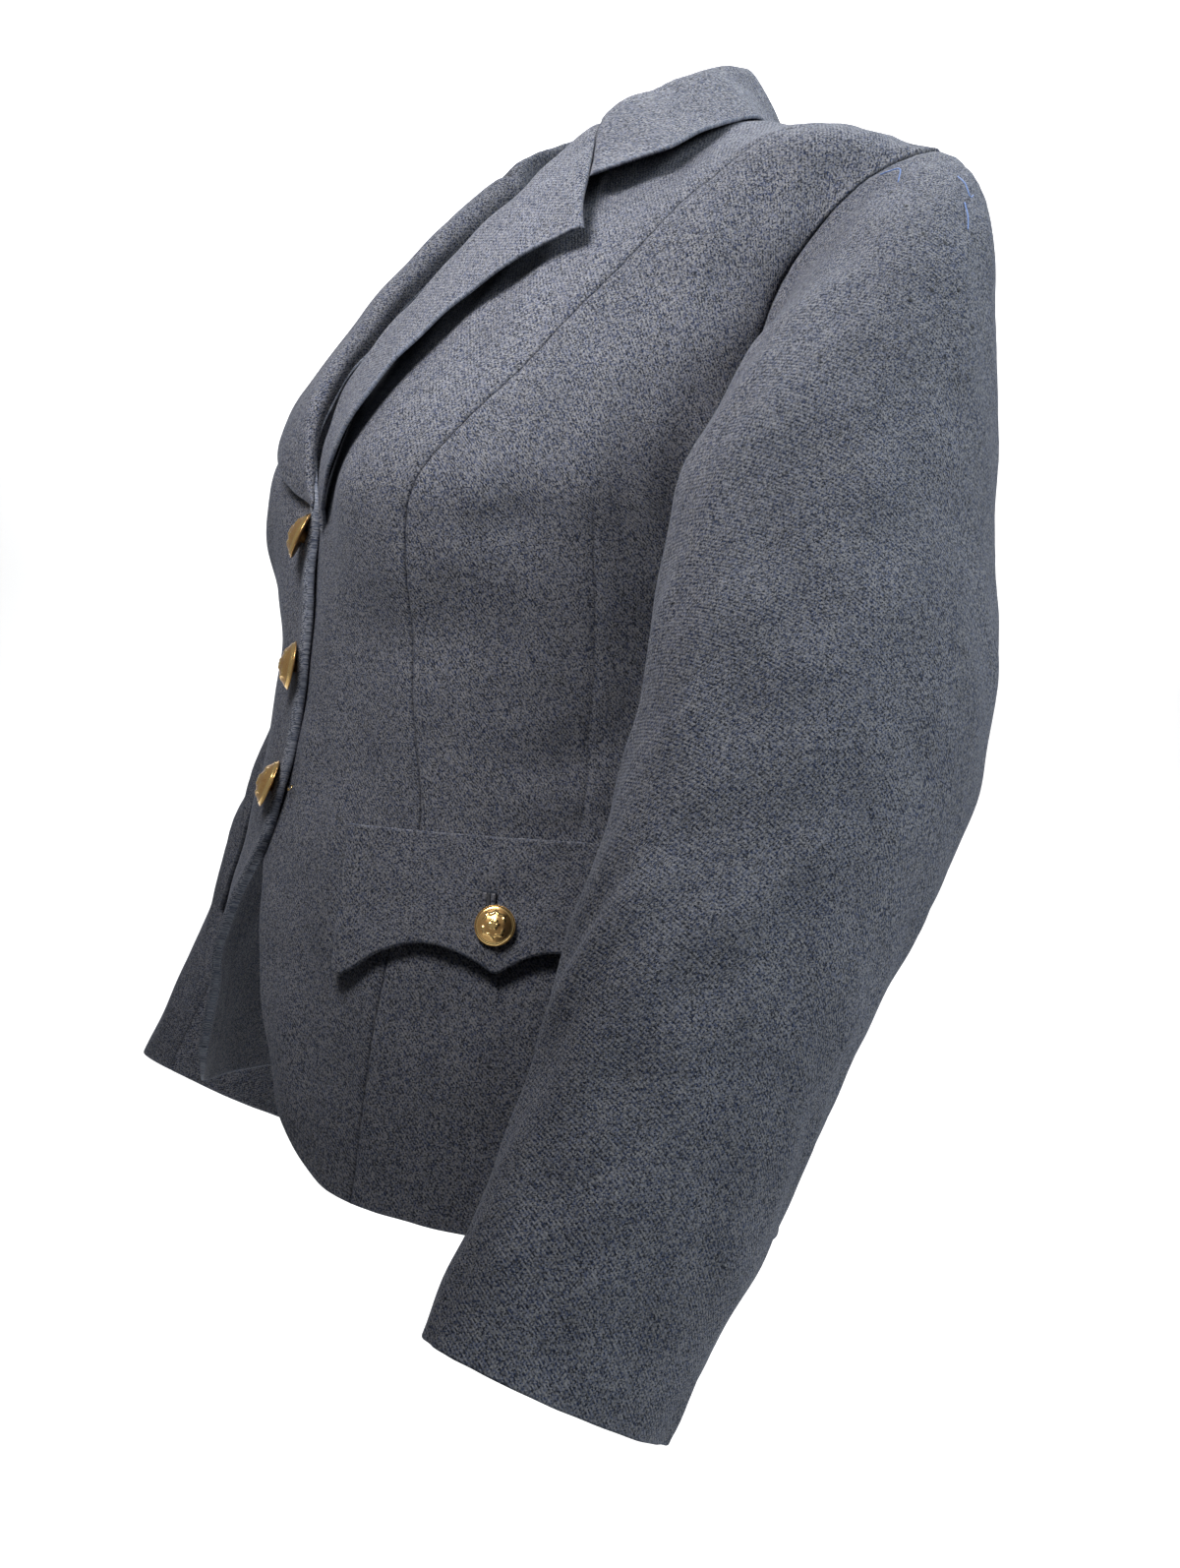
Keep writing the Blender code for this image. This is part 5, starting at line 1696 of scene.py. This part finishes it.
@dataclass(frozen=True)
class Strand:
    """Rounded strip, thread or wire along a path."""

    wide: float
    tall: float
    sides: int = 8

    def mesh(self, name: str, path: Array, up: Array, closed: bool = False) -> Mesh:
        """Make the strand.

        Args:
            name: Mesh name.
            path: Points along its middle.
            up: Direction of its height at each point.
            closed: True for a ring.

        Returns:
            Closed mesh with a map in metres along it.
        """
        count = len(path)
        along = np.roll(path, -1, axis=0) - np.roll(path, 1, axis=0) if closed else np.gradient(path, axis=0)
        along = unit(along)
        aside = np.cross(along, up)
        aside = unit(aside)
        rise = np.cross(aside, along)
        angle = np.linspace(0, 2 * math.pi, self.sides, endpoint=False)
        ring = path[:, None] + aside[:, None] * (self.wide / 2 * np.cos(angle))[None, :, None]
        ring = ring + rise[:, None] * (self.tall / 2 * np.sin(angle))[None, :, None]
        faces: list[tuple[int, ...]] = []
        for k in range(count if closed else count - 1):
            a = k * self.sides
            b = (k + 1) % count * self.sides
            for j in range(self.sides):
                after = (j + 1) % self.sides
                faces.append((a + j, b + j, b + after, a + after))
        if not closed:
            faces.append(tuple(range(self.sides)))
            faces.append(tuple((count - 1) * self.sides + j for j in reversed(range(self.sides))))
        mesh = new_mesh(name, ring.reshape(-1, 3), faces)
        run = run_along(path)
        corners = np.array([corner for face in faces for corner in face])
        around = corners % self.sides * self.wide * 2 / self.sides
        placed = np.stack([around, run[corners // self.sides]], axis=1)
        mesh.uv_layers.new(name="cloth").uv.foreach_set("vector", placed.ravel())
        for label in MARKS:
            mark = mesh.attributes.new(label, "FLOAT", "POINT")
            mark.data.foreach_set("value", np.full(count * self.sides, FAR, np.float32))
        return mesh


def add_trim(mesh: Mesh, material: Material) -> Object:
    """Show a small sewn-on piece that rides with the jacket."""
    thing = show(mesh.name, mesh)
    if not mesh.materials:
        mesh.materials.append(material)
    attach(thing, "root")
    return thing


@dataclass(frozen=True)
class StitchStyle:
    """Sizes of one row of stitches."""

    spacing: float
    length: float
    radius: float
    unevenness: float = 0.14


class StitchRows:
    """Rows of thread stitches, set along a line by one node tree."""

    def __init__(self) -> None:
        """Build the tree once."""
        self.tree = bpy.data.node_groups.new("stitch_row", "GeometryNodeTree")
        face = self.tree.interface
        face.new_socket(name="Line", in_out="INPUT", socket_type="NodeSocketGeometry")
        self.inputs: dict[str, str] = {}
        sockets = [(label, "Float") for label in ("Spacing", "Stitch Length", "Thread Radius", "Unevenness")]
        for label, kind in sockets + [("Seed", "Int"), ("Thread", "Material")]:
            made = face.new_socket(name=label, in_out="INPUT", socket_type=f"NodeSocket{kind}")
            self.inputs[label] = made.identifier
        face.new_socket(name="Stitches", in_out="OUTPUT", socket_type="NodeSocketGeometry")
        tools = NodeTools(self.tree)
        given = tools.add("NodeGroupInput").outputs
        curve = tools.add("GeometryNodeMeshToCurve", {"Mesh": given["Line"]}).outputs[0]
        spacing = {"Curve": curve, "Length": given["Spacing"]}
        spaced = tools.add("GeometryNodeResampleCurve", spacing, mode="LENGTH").outputs[0]
        lay = tools.add("GeometryNodeInputNamedAttribute", {"Name": "lay"}, data_type="FLOAT_VECTOR")
        aim = {"Vector": lay.outputs["Attribute"]}
        turn = tools.add("FunctionNodeAlignRotationToVector", aim, axis="Z").outputs[0]
        stitch = tools.add("GeometryNodeMeshUVSphere", {"Segments": 6, "Rings": 5}).outputs["Mesh"]
        smooth = tools.add("GeometryNodeSetShadeSmooth", {"Geometry": stitch}).outputs[0]
        chance = tools.add("FunctionNodeRandomValue", data_type="FLOAT")
        ends = [place for place, socket in enumerate(chance.inputs) if socket.type == "VALUE"]
        low = tools.maths("SUBTRACT", 1.0, given["Unevenness"])
        high = tools.maths("ADD", 1.0, given["Unevenness"])
        tools.feed(chance, {ends[0]: low, ends[1]: high, "Seed": given["Seed"]})
        drawn = next(socket for socket in chance.outputs if socket.type == "VALUE")
        half = tools.maths("MULTIPLY", tools.maths("MULTIPLY", given["Stitch Length"], 0.5), drawn)
        size = tools.vector(given["Thread Radius"], given["Thread Radius"], half)
        setting = {"Points": spaced, "Instance": smooth, "Rotation": turn, "Scale": size}
        placed = tools.add("GeometryNodeInstanceOnPoints", setting).outputs[0]
        real = tools.add("GeometryNodeRealizeInstances", {0: placed}).outputs[0]
        painted = tools.add("GeometryNodeSetMaterial", {"Geometry": real, "Material": given["Thread"]})
        tools.add("NodeGroupOutput", {0: painted.outputs[0]})

    def sew(
        self, name: str, path: Array, lay: Array, style: StitchStyle, thread: Material, seed: int
    ) -> Object:
        """Set one row of stitches.

        Args:
            name: Piece name.
            path: Points along the row.
            lay: Direction of the stitches at each point.
            style: Their sizes.
            thread: Their material.
            seed: Picks their uneven lengths.

        Returns:
            The row as one piece.
        """
        mesh = bpy.data.meshes.new(name)
        mesh.from_pydata(path.tolist(), [(k, k + 1) for k in range(len(path) - 1)], [])
        kept = mesh.attributes.new("lay", "FLOAT_VECTOR", "POINT")
        kept.data.foreach_set("vector", lay.ravel().astype(np.float32))
        thing = show(name, mesh)
        change = thing.modifiers.new("stitch_row", "NODES")
        change.node_group = self.tree
        sizes = {
            "Spacing": style.spacing,
            "Stitch Length": style.length,
            "Thread Radius": style.radius,
            "Unevenness": style.unevenness,
            "Seed": seed,
            "Thread": thread,
        }
        for label, value in sizes.items():
            change[self.inputs[label]] = value
        graph = bpy.context.evaluated_depsgraph_get()
        sewn = bpy.data.meshes.new_from_object(thing.evaluated_get(graph), depsgraph=graph)
        bpy.data.objects.remove(thing)
        sewn.name = name
        return add_trim(sewn, thread)


def laid(cut: JacketCut, places: Array, out: Array | float, side: Side) -> tuple[Array, Array]:
    """Points and normals over the body cloth.

    Args:
        cut: The jacket's cut.
        places: Rows of girth and height.
        out: Distance off the body form.
        side: Wearer's side.

    Returns:
        The points and the unit normals, mirrored to that side.
    """
    here = cut.body.at(places[:, 0], places[:, 1], out)
    away = cut.body.at(places[:, 0], places[:, 1], out + 0.001) - here
    away = unit(away)
    return here * side.mirror, away * side.mirror


@dataclass
class Buttonholes:
    """Bound slots of the flaps and worked buttonholes of the right front."""

    cut: JacketCut
    finishes: Finishes
    rows: StitchRows
    slot: tuple[Pair, Pair] = ((0.1645, -0.4292), (0.1668, -0.4368))
    welt: Strand = Strand(0.0026, 0.0012)
    slit: Strand = Strand(0.0015, 0.0010, 6)
    bar: StitchStyle = StitchStyle(0.00060, 0.0022, 0.00036)
    lip: StitchStyle = StitchStyle(0.00062, 0.0026, 0.00030)
    reach: Pair = (-0.0050, 0.0225)

    def flap_slot(self, side: Side, height: OverCloth) -> list[Object]:
        """Two welts, the dark slit between them and the stitched bar above.

        Args:
            side: Wearer's side.
            height: Height of the flap's outer face at girth and z.

        Returns:
            The pieces.
        """
        label = side.label
        line = straight(np.array(self.slot[0]), np.array(self.slot[1]), 9)
        made = []
        for name, aside, strand, lift, finish in (
            ("fore_welt", -0.0020, self.welt, 0.00035, self.finishes.flap_twill),
            ("hind_welt", 0.0020, self.welt, 0.00035, self.finishes.flap_twill),
            # the slit strand paints the shade in the opening between the welts
            ("slit", 0.0, self.slit, 0.00035, self.finishes.dark_thread),
        ):
            places = line + np.array([aside, 0.0])
            path, up = laid(self.cut, places, height(places[:, 0], places[:, 1]) + lift, side)
            made.append(add_trim(strand.mesh(f"flap_slot_{label}_{name}", path, up), finish))
        top = np.array(self.slot[0])
        places = straight(top + np.array([-0.0031, 0.0006]), top + np.array([0.0031, 0.0008]), 8)
        out = height(places[:, 0], places[:, 1]) + 0.0006
        path, up = laid(self.cut, places, out, side)
        lower, _ = laid(self.cut, places - np.array([0.0, 0.001]), out, side)
        name = f"flap_slot_{label}_bar_stitches"
        thread = self.finishes.dark_blue_thread
        made.append(self.rows.sew(name, path, lower - path, self.bar, thread, 5 + side.value))
        return made

    def front_holes(self, height: OverCloth) -> list[Object]:
        """Three level buttonholes of the right front, each a slit between stitched lips."""
        made = []
        for number, z in enumerate(self.cut.button_heights, start=1):
            line = straight(np.array([self.reach[0], z]), np.array([self.reach[1], z]), 24)
            out = height(line[:, 0], line[:, 1]) + 0.0006
            path, up = laid(self.cut, line, out, Side.RIGHT)
            name = f"front_hole_{number}"
            # a near-black strand paints the shade in the cut slit
            made.append(add_trim(self.slit.mesh(f"{name}_slit", path, up), self.finishes.dark_thread))
            for lip, step in (("upper", 0.0014), ("lower", -0.0014)):
                edge, _ = laid(self.cut, line + np.array([0.0, step]), out, Side.RIGHT)
                lay = np.tile(np.array([0.0, 0.0, 1.0]), (len(line), 1))
                thread = self.finishes.dark_blue_thread
                label = f"{name}_{lip}_lip_stitches"
                made.append(self.rows.sew(label, edge, lay, self.lip, thread, 10 * number))
        return made


@dataclass
class SleeveWear:
    """Loose blue thread ends and needle holes high on the left sleeve, and the pin by the last button."""

    cut: JacketCut
    finishes: Finishes
    thread: Strand = Strand(0.00060, 0.00060, 6)
    wire: Strand = Strand(0.00055, 0.00055, 8)
    hole_radius: float = 0.00110
    # angle round the sleeve, distance down it, height over the cloth
    tails: tuple[tuple[Triple, ...], ...] = (
        ((36.0, 0.0076, 0.0002), (33.5, 0.0127, 0.0022), (31.0, 0.0190, 0.0030), (33.0, 0.0254, 0.0008)),
        ((7.0, 0.0346, 0.0004), (5.5, 0.0450, 0.0030), (3.0, 0.0544, 0.0035), (-1.0, 0.0485, 0.0016)),
        ((4.0, 0.0560, 0.0006), (2.0, 0.0660, 0.0016), (0.5, 0.0740, 0.0010)),
    )
    holes: tuple[Pair, ...] = (
        (30.0, 0.0527), (20.5, 0.0779), (16.0, 0.1183), (9.0, 0.1122), (-2.0, 0.1085),
        (36.0, 0.0303), (10.0, 0.0853), (-13.5, 0.1201),
    )
    pin_place: Triple = (0.0208, -0.3943, 0.0030)
    pin_radius: float = 0.0017

    def spot(self, degrees: float, run: float, out: float) -> tuple[Array, Array]:
        """Point and normal on the left sleeve.

        Args:
            degrees: Angle round the sleeve.
            run: Distance down from the armhole.
            out: Height over the cloth.

        Returns:
            The point and the outward normal.
        """
        angles = np.array([degrees, degrees + 0.5, degrees + 180.0])
        grid = SleeveForm(self.cut, Side.LEFT).grid(angles, 70, 130)
        down = run_along(grid)

        def read(column: int, at: float) -> Array:
            """Point of one column at a distance down it."""
            return np.array([np.interp(at, down[:, column], grid[:, column, k]) for k in range(3)])

        here = read(0, run)
        normal = np.cross(read(1, run) - here, read(0, run + 0.002) - here)
        normal = unit(normal)
        if np.dot(normal, here - read(2, run)) < 0:
            normal = -normal
        form = Sleeves(self.cut, self.finishes)
        at = degrees * form.round_scale
        swell = float(form.lift(Side.LEFT)(np.array([at]), np.array([run]))[0])
        return here + normal * (out + swell + form.roll_height(run)), normal

    def build(self) -> list[Object]:
        """Make the thread ends and the needle holes."""
        made = []
        for number, tail in enumerate(self.tails, start=1):
            spots = [self.spot(*place) for place in tail]
            path = even_curve(np.array([point for point, _ in spots]), 22)
            up = np.tile(spots[0][1], (len(path), 1))
            mesh = self.thread.mesh(f"loose_thread_{number}", path, up)
            made.append(add_trim(mesh, self.finishes.blue_thread))
        # needle holes: flat near-black discs of painted shade, standing in for the dark inside of each hole
        points: list[Array] = []
        faces: list[tuple[int, ...]] = []
        for degrees, run in self.holes:
            middle, normal = self.spot(degrees, run, 0.0002)
            along = np.cross(normal, np.array([1.0, 0.3, 0.2]))
            along = unit(along)
            aside = np.cross(normal, along)
            start = len(points)
            turns = np.linspace(0, 2 * math.pi, 10, endpoint=False)
            points += [middle + (along * math.cos(t) + aside * math.sin(t)) * self.hole_radius for t in turns]
            points += [middle + normal * 0.0006, middle - normal * 0.0004]
            for k in range(10):
                after = (k + 1) % 10
                faces.append((start + k, start + after, start + 10))
                faces.append((start + after, start + k, start + 11))
        mesh = new_mesh("needle_holes", points, faces, smooth=False)
        made.append(add_trim(mesh, self.finishes.dark_thread))
        return made

    def pin(self) -> Object:
        """Looped end of the wire pin that holds the last button, beside the closing edge."""
        girth, z, out = self.pin_place
        middle, normal = laid(self.cut, np.array([[girth, z]]), out, Side.LEFT)
        beside, _ = laid(self.cut, np.array([[girth - 0.004, z + 0.0008]]), out - 0.001, Side.LEFT)
        toward = beside[0] - middle[0]
        toward = unit(toward)
        across = np.cross(toward, normal[0] + np.array([0.0, 0.0, 0.6]))
        across = unit(across)
        turn = np.linspace(-2.6, 2.6, 26)[:, None]
        loop = middle[0] + self.pin_radius * (-toward * np.cos(turn) + across * np.sin(turn))
        reach = toward * 0.0055
        path = np.concatenate([loop[:1] + reach, loop, loop[-1:] + reach])
        up = np.tile(np.cross(toward, across), (len(path), 1))
        return add_trim(self.wire.mesh("button_pin", path, up), self.finishes.gilt)


@dataclass(frozen=True)
class ButtonStyle:
    """Sizes of a domed button with a relief of leaves round a flower."""

    radius: float
    dome: float
    shank: float
    relief: float


@dataclass
class Buttons:
    """Gilt buttons down the front and on the flaps."""

    cut: JacketCut
    finishes: Finishes
    front_style: ButtonStyle = ButtonStyle(0.0127, 0.0062, 0.0026, 0.00085)
    flap_style: ButtonStyle = ButtonStyle(0.0095, 0.0048, 0.0022, 0.00070)
    offset: float = 0.0062
    flap_place: Pair = (0.1725, -0.4440)
    flap_part: float = 0.678
    rings: int = 44
    steps: int = 112

    def relief(self, radial: Array, angle: Array) -> Array:
        """Raised pattern of a button, from 0 to 1.

        Args:
            radial: Share of the button's radius.
            angle: Angle round the button.

        Returns:
            Height share at each place.
        """
        x = radial * np.sin(angle)
        y = radial * np.cos(angle)
        total = bell(radial, 0.0, 0.10)
        for k in range(6):
            turn = 2 * math.pi * k / 6
            px, py = 0.19 * math.sin(turn), 0.19 * math.cos(turn)
            total = total + 0.9 * np.exp(-(((x - px) ** 2 + (y - py) ** 2) / 0.085**2))
        for sign in (-1, 1):
            for k in range(7):
                turn = sign * (2.75 - 0.36 * k)
                reach = 0.56 + 0.05 * (k % 2)
                px, py = reach * math.sin(turn), reach * math.cos(turn)
                lean = turn + sign * (-0.9 if k % 2 else -1.9)
                du = (x - px) * math.sin(lean) + (y - py) * math.cos(lean)
                dv = (x - px) * math.cos(lean) - (y - py) * math.sin(lean)
                total = total + 0.85 * np.exp(-((du / 0.125) ** 2) - ((dv / 0.052) ** 2))
        cord = 0.5 * bell(radial, 0.90, 0.035) * (0.75 + 0.25 * np.cos(angle * 56))
        return np.clip(total, 0, 1.15) + cord

    def mesh(self, name: str, style: ButtonStyle) -> Mesh:
        """Closed button mesh about its own +Z axis, standing on the cloth at 0."""
        share = np.sin(np.linspace(0, math.pi / 2, self.rings)) ** 0.9
        angle = np.linspace(0, 2 * math.pi, self.steps, endpoint=False)
        radial, turn = np.meshgrid(share[1:], angle, indexing="ij")
        profile = style.dome * (1 - radial**2.3) * 0.93 + style.dome * 0.07
        raised = self.relief(radial, turn)
        height = profile + style.relief * raised * np.clip((1.0 - radial) / 0.06, 0, 1)
        top = np.stack([radial * np.cos(turn), radial * np.sin(turn)], axis=2) * style.radius
        rows = [np.concatenate([top, (height + style.shank)[..., None]], axis=2)]
        under = ((1.012, 0.10), (1.015, 0.03), (1.0, -0.03), (0.93, -0.06), (0.32, -0.06), (0.27, -0.10))
        for wide, drop in under:
            ring = np.stack([wide * np.cos(angle), wide * np.sin(angle)], axis=1) * style.radius
            level = np.full((self.steps, 1), style.shank + style.dome * drop)
            rows.append(np.concatenate([ring, level], axis=1)[None])
        foot = np.stack([0.25 * np.cos(angle), 0.25 * np.sin(angle), np.zeros(self.steps)], axis=1)
        foot[:, :2] *= style.radius
        rows.append(foot[None])
        grid = np.concatenate(rows)
        count = len(grid)
        crown = [[0, 0, style.dome + style.shank + style.relief]]
        points = np.concatenate([crown, grid.reshape(-1, 3), [[0, 0, 0]]])
        faces: list[tuple[int, ...]] = []
        for k in range(self.steps):
            after = (k + 1) % self.steps
            faces.append((0, 1 + k, 1 + after))
            for ring in range(count - 1):
                a = 1 + ring * self.steps
                b = a + self.steps
                faces.append((a + k, b + k, b + after, a + after))
            last = 1 + (count - 1) * self.steps
            faces.append((last + k, len(points) - 1, last + after))
        mesh = new_mesh(name, points, faces)
        low = np.zeros(len(points), np.float32)
        low[1 : 1 + raised.size] = np.clip(0.55 - raised.ravel(), 0, 0.55) * (radial.ravel() < 0.86) * 1.2
        low[1 + raised.size :] = 0.7
        mesh.attributes.new("hollow", "FLOAT", "POINT").data.foreach_set("value", low)
        return mesh

    def place(self, node: str, style: ButtonStyle, where: Triple, side: Side, tilt: Pair) -> None:
        """Put one button on the cloth.

        Args:
            node: Solid that it stands for.
            style: Button sizes.
            where: Girth, height and distance off the body.
            side: Wearer's side.
            tilt: Lean about X and Y, in degrees.
        """
        name = f"{node}_gilt"
        mirror = Vector((side.value, 1.0, 1.0))
        here = Vector(self.cut.body.at(*where)) * mirror
        away = Vector(self.cut.body.at(where[0], where[1], where[2] + 0.01)) * mirror - here
        turn = away.to_track_quat("Z", "Y").to_matrix().to_4x4()
        lean = Matrix.Rotation(math.radians(tilt[0]), 4, "X") @ Matrix.Rotation(math.radians(tilt[1]), 4, "Y")
        mesh = self.mesh(name, style)
        mesh.transform(Matrix.Translation(here) @ turn @ lean)
        thing = show(name, mesh)
        mesh.materials.append(self.finishes.gilt)
        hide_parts(node)
        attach(thing, "root")
        log.info("%s: %d faces", name, len(mesh.polygons))

    def build(self) -> None:
        """Make the five buttons."""
        tilts = ((-20.0, -16.0), (-3.0, -15.0), (-9.0, -15.0))
        out = self.cut.right_raise + 0.0006
        for number, (z, tilt) in enumerate(zip(self.cut.button_heights, tilts), start=1):
            node = f"front_button_{number}"
            self.place(node, self.front_style, (self.offset, z, out), Side.LEFT, tilt)
        flaps = PocketFlaps(self.cut, self.finishes)
        out = flaps.stand_off * self.flap_part**flaps.bend + flaps.least_gap + flaps.thickness + 0.0006
        for side in Side:
            node = f"pocket_button_{side.label}"
            self.place(node, self.flap_style, (*self.flap_place, out), side, (0.0, 0.0))


@dataclass(frozen=True)
class Lamp:
    """Soft square light; its size is one side, and its beam the full angle in degrees."""

    name: str
    where: Sequence[float]
    aim: Sequence[float]
    size: float
    watts: float
    colour: Triple
    beam: float = 180.0

    def hang(self) -> None:
        """Put the light in the scene."""
        lamp = bpy.data.lights.new(self.name, "AREA")
        lamp.spread = math.radians(self.beam)
        lamp.shape = "SQUARE"
        lamp.size = self.size
        lamp.energy = self.watts
        lamp.color = self.colour
        thing = show(self.name, lamp)
        here = Vector(self.where)
        thing.location = here
        thing.rotation_mode = "QUATERNION"
        thing.rotation_quaternion = (here - Vector(self.aim)).to_track_quat("Z", "Y")


@dataclass
class Studio:
    """Floor, lights and camera."""

    position: Triple = (0.861, -0.443, -0.350)
    azimuth: float = 61.8
    elevation: float = 1.6
    roll: float = 6.5
    focal_pixels: float = 1711.0
    long_side: float = 1594.0
    half_width: float = 2.4
    floor_z: float = -1.50
    bend: float = 1.5
    bend_start: float = 3.0
    floor_ends: tuple[Pair, Pair] = ((-1.2, 0.0), (4.5, 4.2))
    lamps: tuple[Lamp, ...] = (
        Lamp("above", (-0.10, -0.15, 0.75), (0.05, -0.08, -0.10), 0.40, 4.8, (0.90, 0.95, 1.0)),
        Lamp("chest_side", (0.26, -0.44, 0.16), (0.12, -0.17, -0.12), 0.22, 1.75, (0.98, 0.98, 1.0), 100.0),
        Lamp("front_side", (0.20, -0.75, 0.35), (0.10, -0.18, -0.12), 0.30, 0.2, (1.0, 0.975, 0.94), 55.0),
        Lamp("back_side", (1.30, 0.75, 0.75), (0.15, 0.0, -0.25), 0.80, 46.0, (0.88, 0.95, 1.0)),
    )

    def across_and_away(self) -> tuple[Vector, Vector]:
        """Level directions to the picture's right and away from the camera."""
        a = math.radians(self.azimuth)
        return Vector((math.cos(a), math.sin(a), 0.0)), Vector((-math.sin(a), math.cos(a), 0.0))

    def camera(self) -> None:
        """Set the camera at the photograph's viewing angle."""
        a = math.radians(self.azimuth)
        e = math.radians(self.elevation)
        r = math.radians(self.roll)
        back = Vector((math.sin(a) * math.cos(e), -math.cos(a) * math.cos(e), math.sin(e)))
        level = Vector((math.cos(a), math.sin(a), 0.0))
        rise = back.cross(level)
        right = level * math.cos(r) + rise * math.sin(r)
        up = rise * math.cos(r) - level * math.sin(r)
        lens = bpy.data.cameras.new("view")
        lens.sensor_fit = "AUTO"
        lens.sensor_width = 36.0
        lens.lens = 36.0 * self.focal_pixels / self.long_side
        lens.clip_start = 0.01
        camera = show("view", lens)
        turn = Matrix((right, up, back)).transposed().to_4x4()
        camera.matrix_world = Matrix.Translation(Vector(self.position)) @ turn
        bpy.context.scene.camera = camera

    def floor(self) -> None:
        """Lay a pale floor with a curved rise behind."""
        level, back = self.across_and_away()
        turn = np.linspace(0, math.pi / 2, 24)
        bend = self.bend
        rise = [(self.bend_start + math.sin(t) * bend, bend - math.cos(t) * bend) for t in turn]
        profile = [self.floor_ends[0], *rise, self.floor_ends[1]]
        points = []
        for along, high in profile:
            for across in (-self.half_width, self.half_width):
                points.append(back * along + level * across + Vector((0.0, 0.0, self.floor_z + high)))
        faces = [(2 * k, 2 * k + 1, 2 * k + 3, 2 * k + 2) for k in range(len(profile) - 1)]
        mesh = new_mesh("floor", points, faces)
        thing = show("floor", mesh)
        material, tools, shader = start_material("pale_floor")
        tools.feed(shader, {"Base Color": (0.76, 0.76, 0.76, 1.0), "Roughness": 0.9})
        mesh.materials.append(material)

    def build(self) -> None:
        """Set up the whole studio."""
        self.camera()
        self.floor()
        for lamp in self.lamps:
            lamp.hang()
        _, back = self.across_and_away()
        over = back * 2.0 + Vector((0.0, 0.0, 2.6))
        Lamp("backdrop", over, back * 4.5 + Vector((0.0, 0.0, -0.1)), 1.8, 300.0, (1.0, 1.0, 1.0)).hang()
        world = bpy.data.worlds.new("studio_air")
        world.use_nodes = True
        tools = NodeTools(world.node_tree)
        ray = tools.add("ShaderNodeLightPath").outputs["Is Glossy Ray"]
        strength = tools.maths("MULTIPLY_ADD", ray, 0.24, 0.012)
        tools.feed(world.node_tree.nodes["Background"], {0: (0.93, 0.95, 1.0, 1.0), 1: strength})
        scene = bpy.context.scene
        scene.world = world
        scene.view_settings.view_transform = "Standard"


def write_sizes() -> None:
    """Define a helper that turns bounds into plain lists; nothing is written."""

    def plain(bounds: object) -> list[list[float]]:
        """Bounds as plain lists of numbers."""
        return [[float(value) for value in corner] for corner in bounds]


def main() -> None:
    """Build the jacket in order."""
    finishes = Finishes.make()
    cut = JacketCut(BodyForm())
    panels = BodyPanels(cut, finishes)
    flaps = PocketFlaps(cut, finishes)
    holes = Buttonholes(cut, finishes, StitchRows())
    wear = SleeveWear(cut, finishes)
    panels.build({Side.LEFT: [wear.pin()], Side.RIGHT: holes.front_holes(panels.lift(Side.RIGHT))})
    Sleeves(cut, finishes).build({Side.LEFT: wear.build(), Side.RIGHT: []})
    lapels = Lapels(cut, finishes)
    lapels.build()
    Collar(cut, finishes, lapels).build()
    flaps.build({side: holes.flap_slot(side, flaps.height) for side in Side})
    Buttons(cut, finishes).build()
    Studio().build()
    write_sizes()


if __name__ == "__main__":
    main()
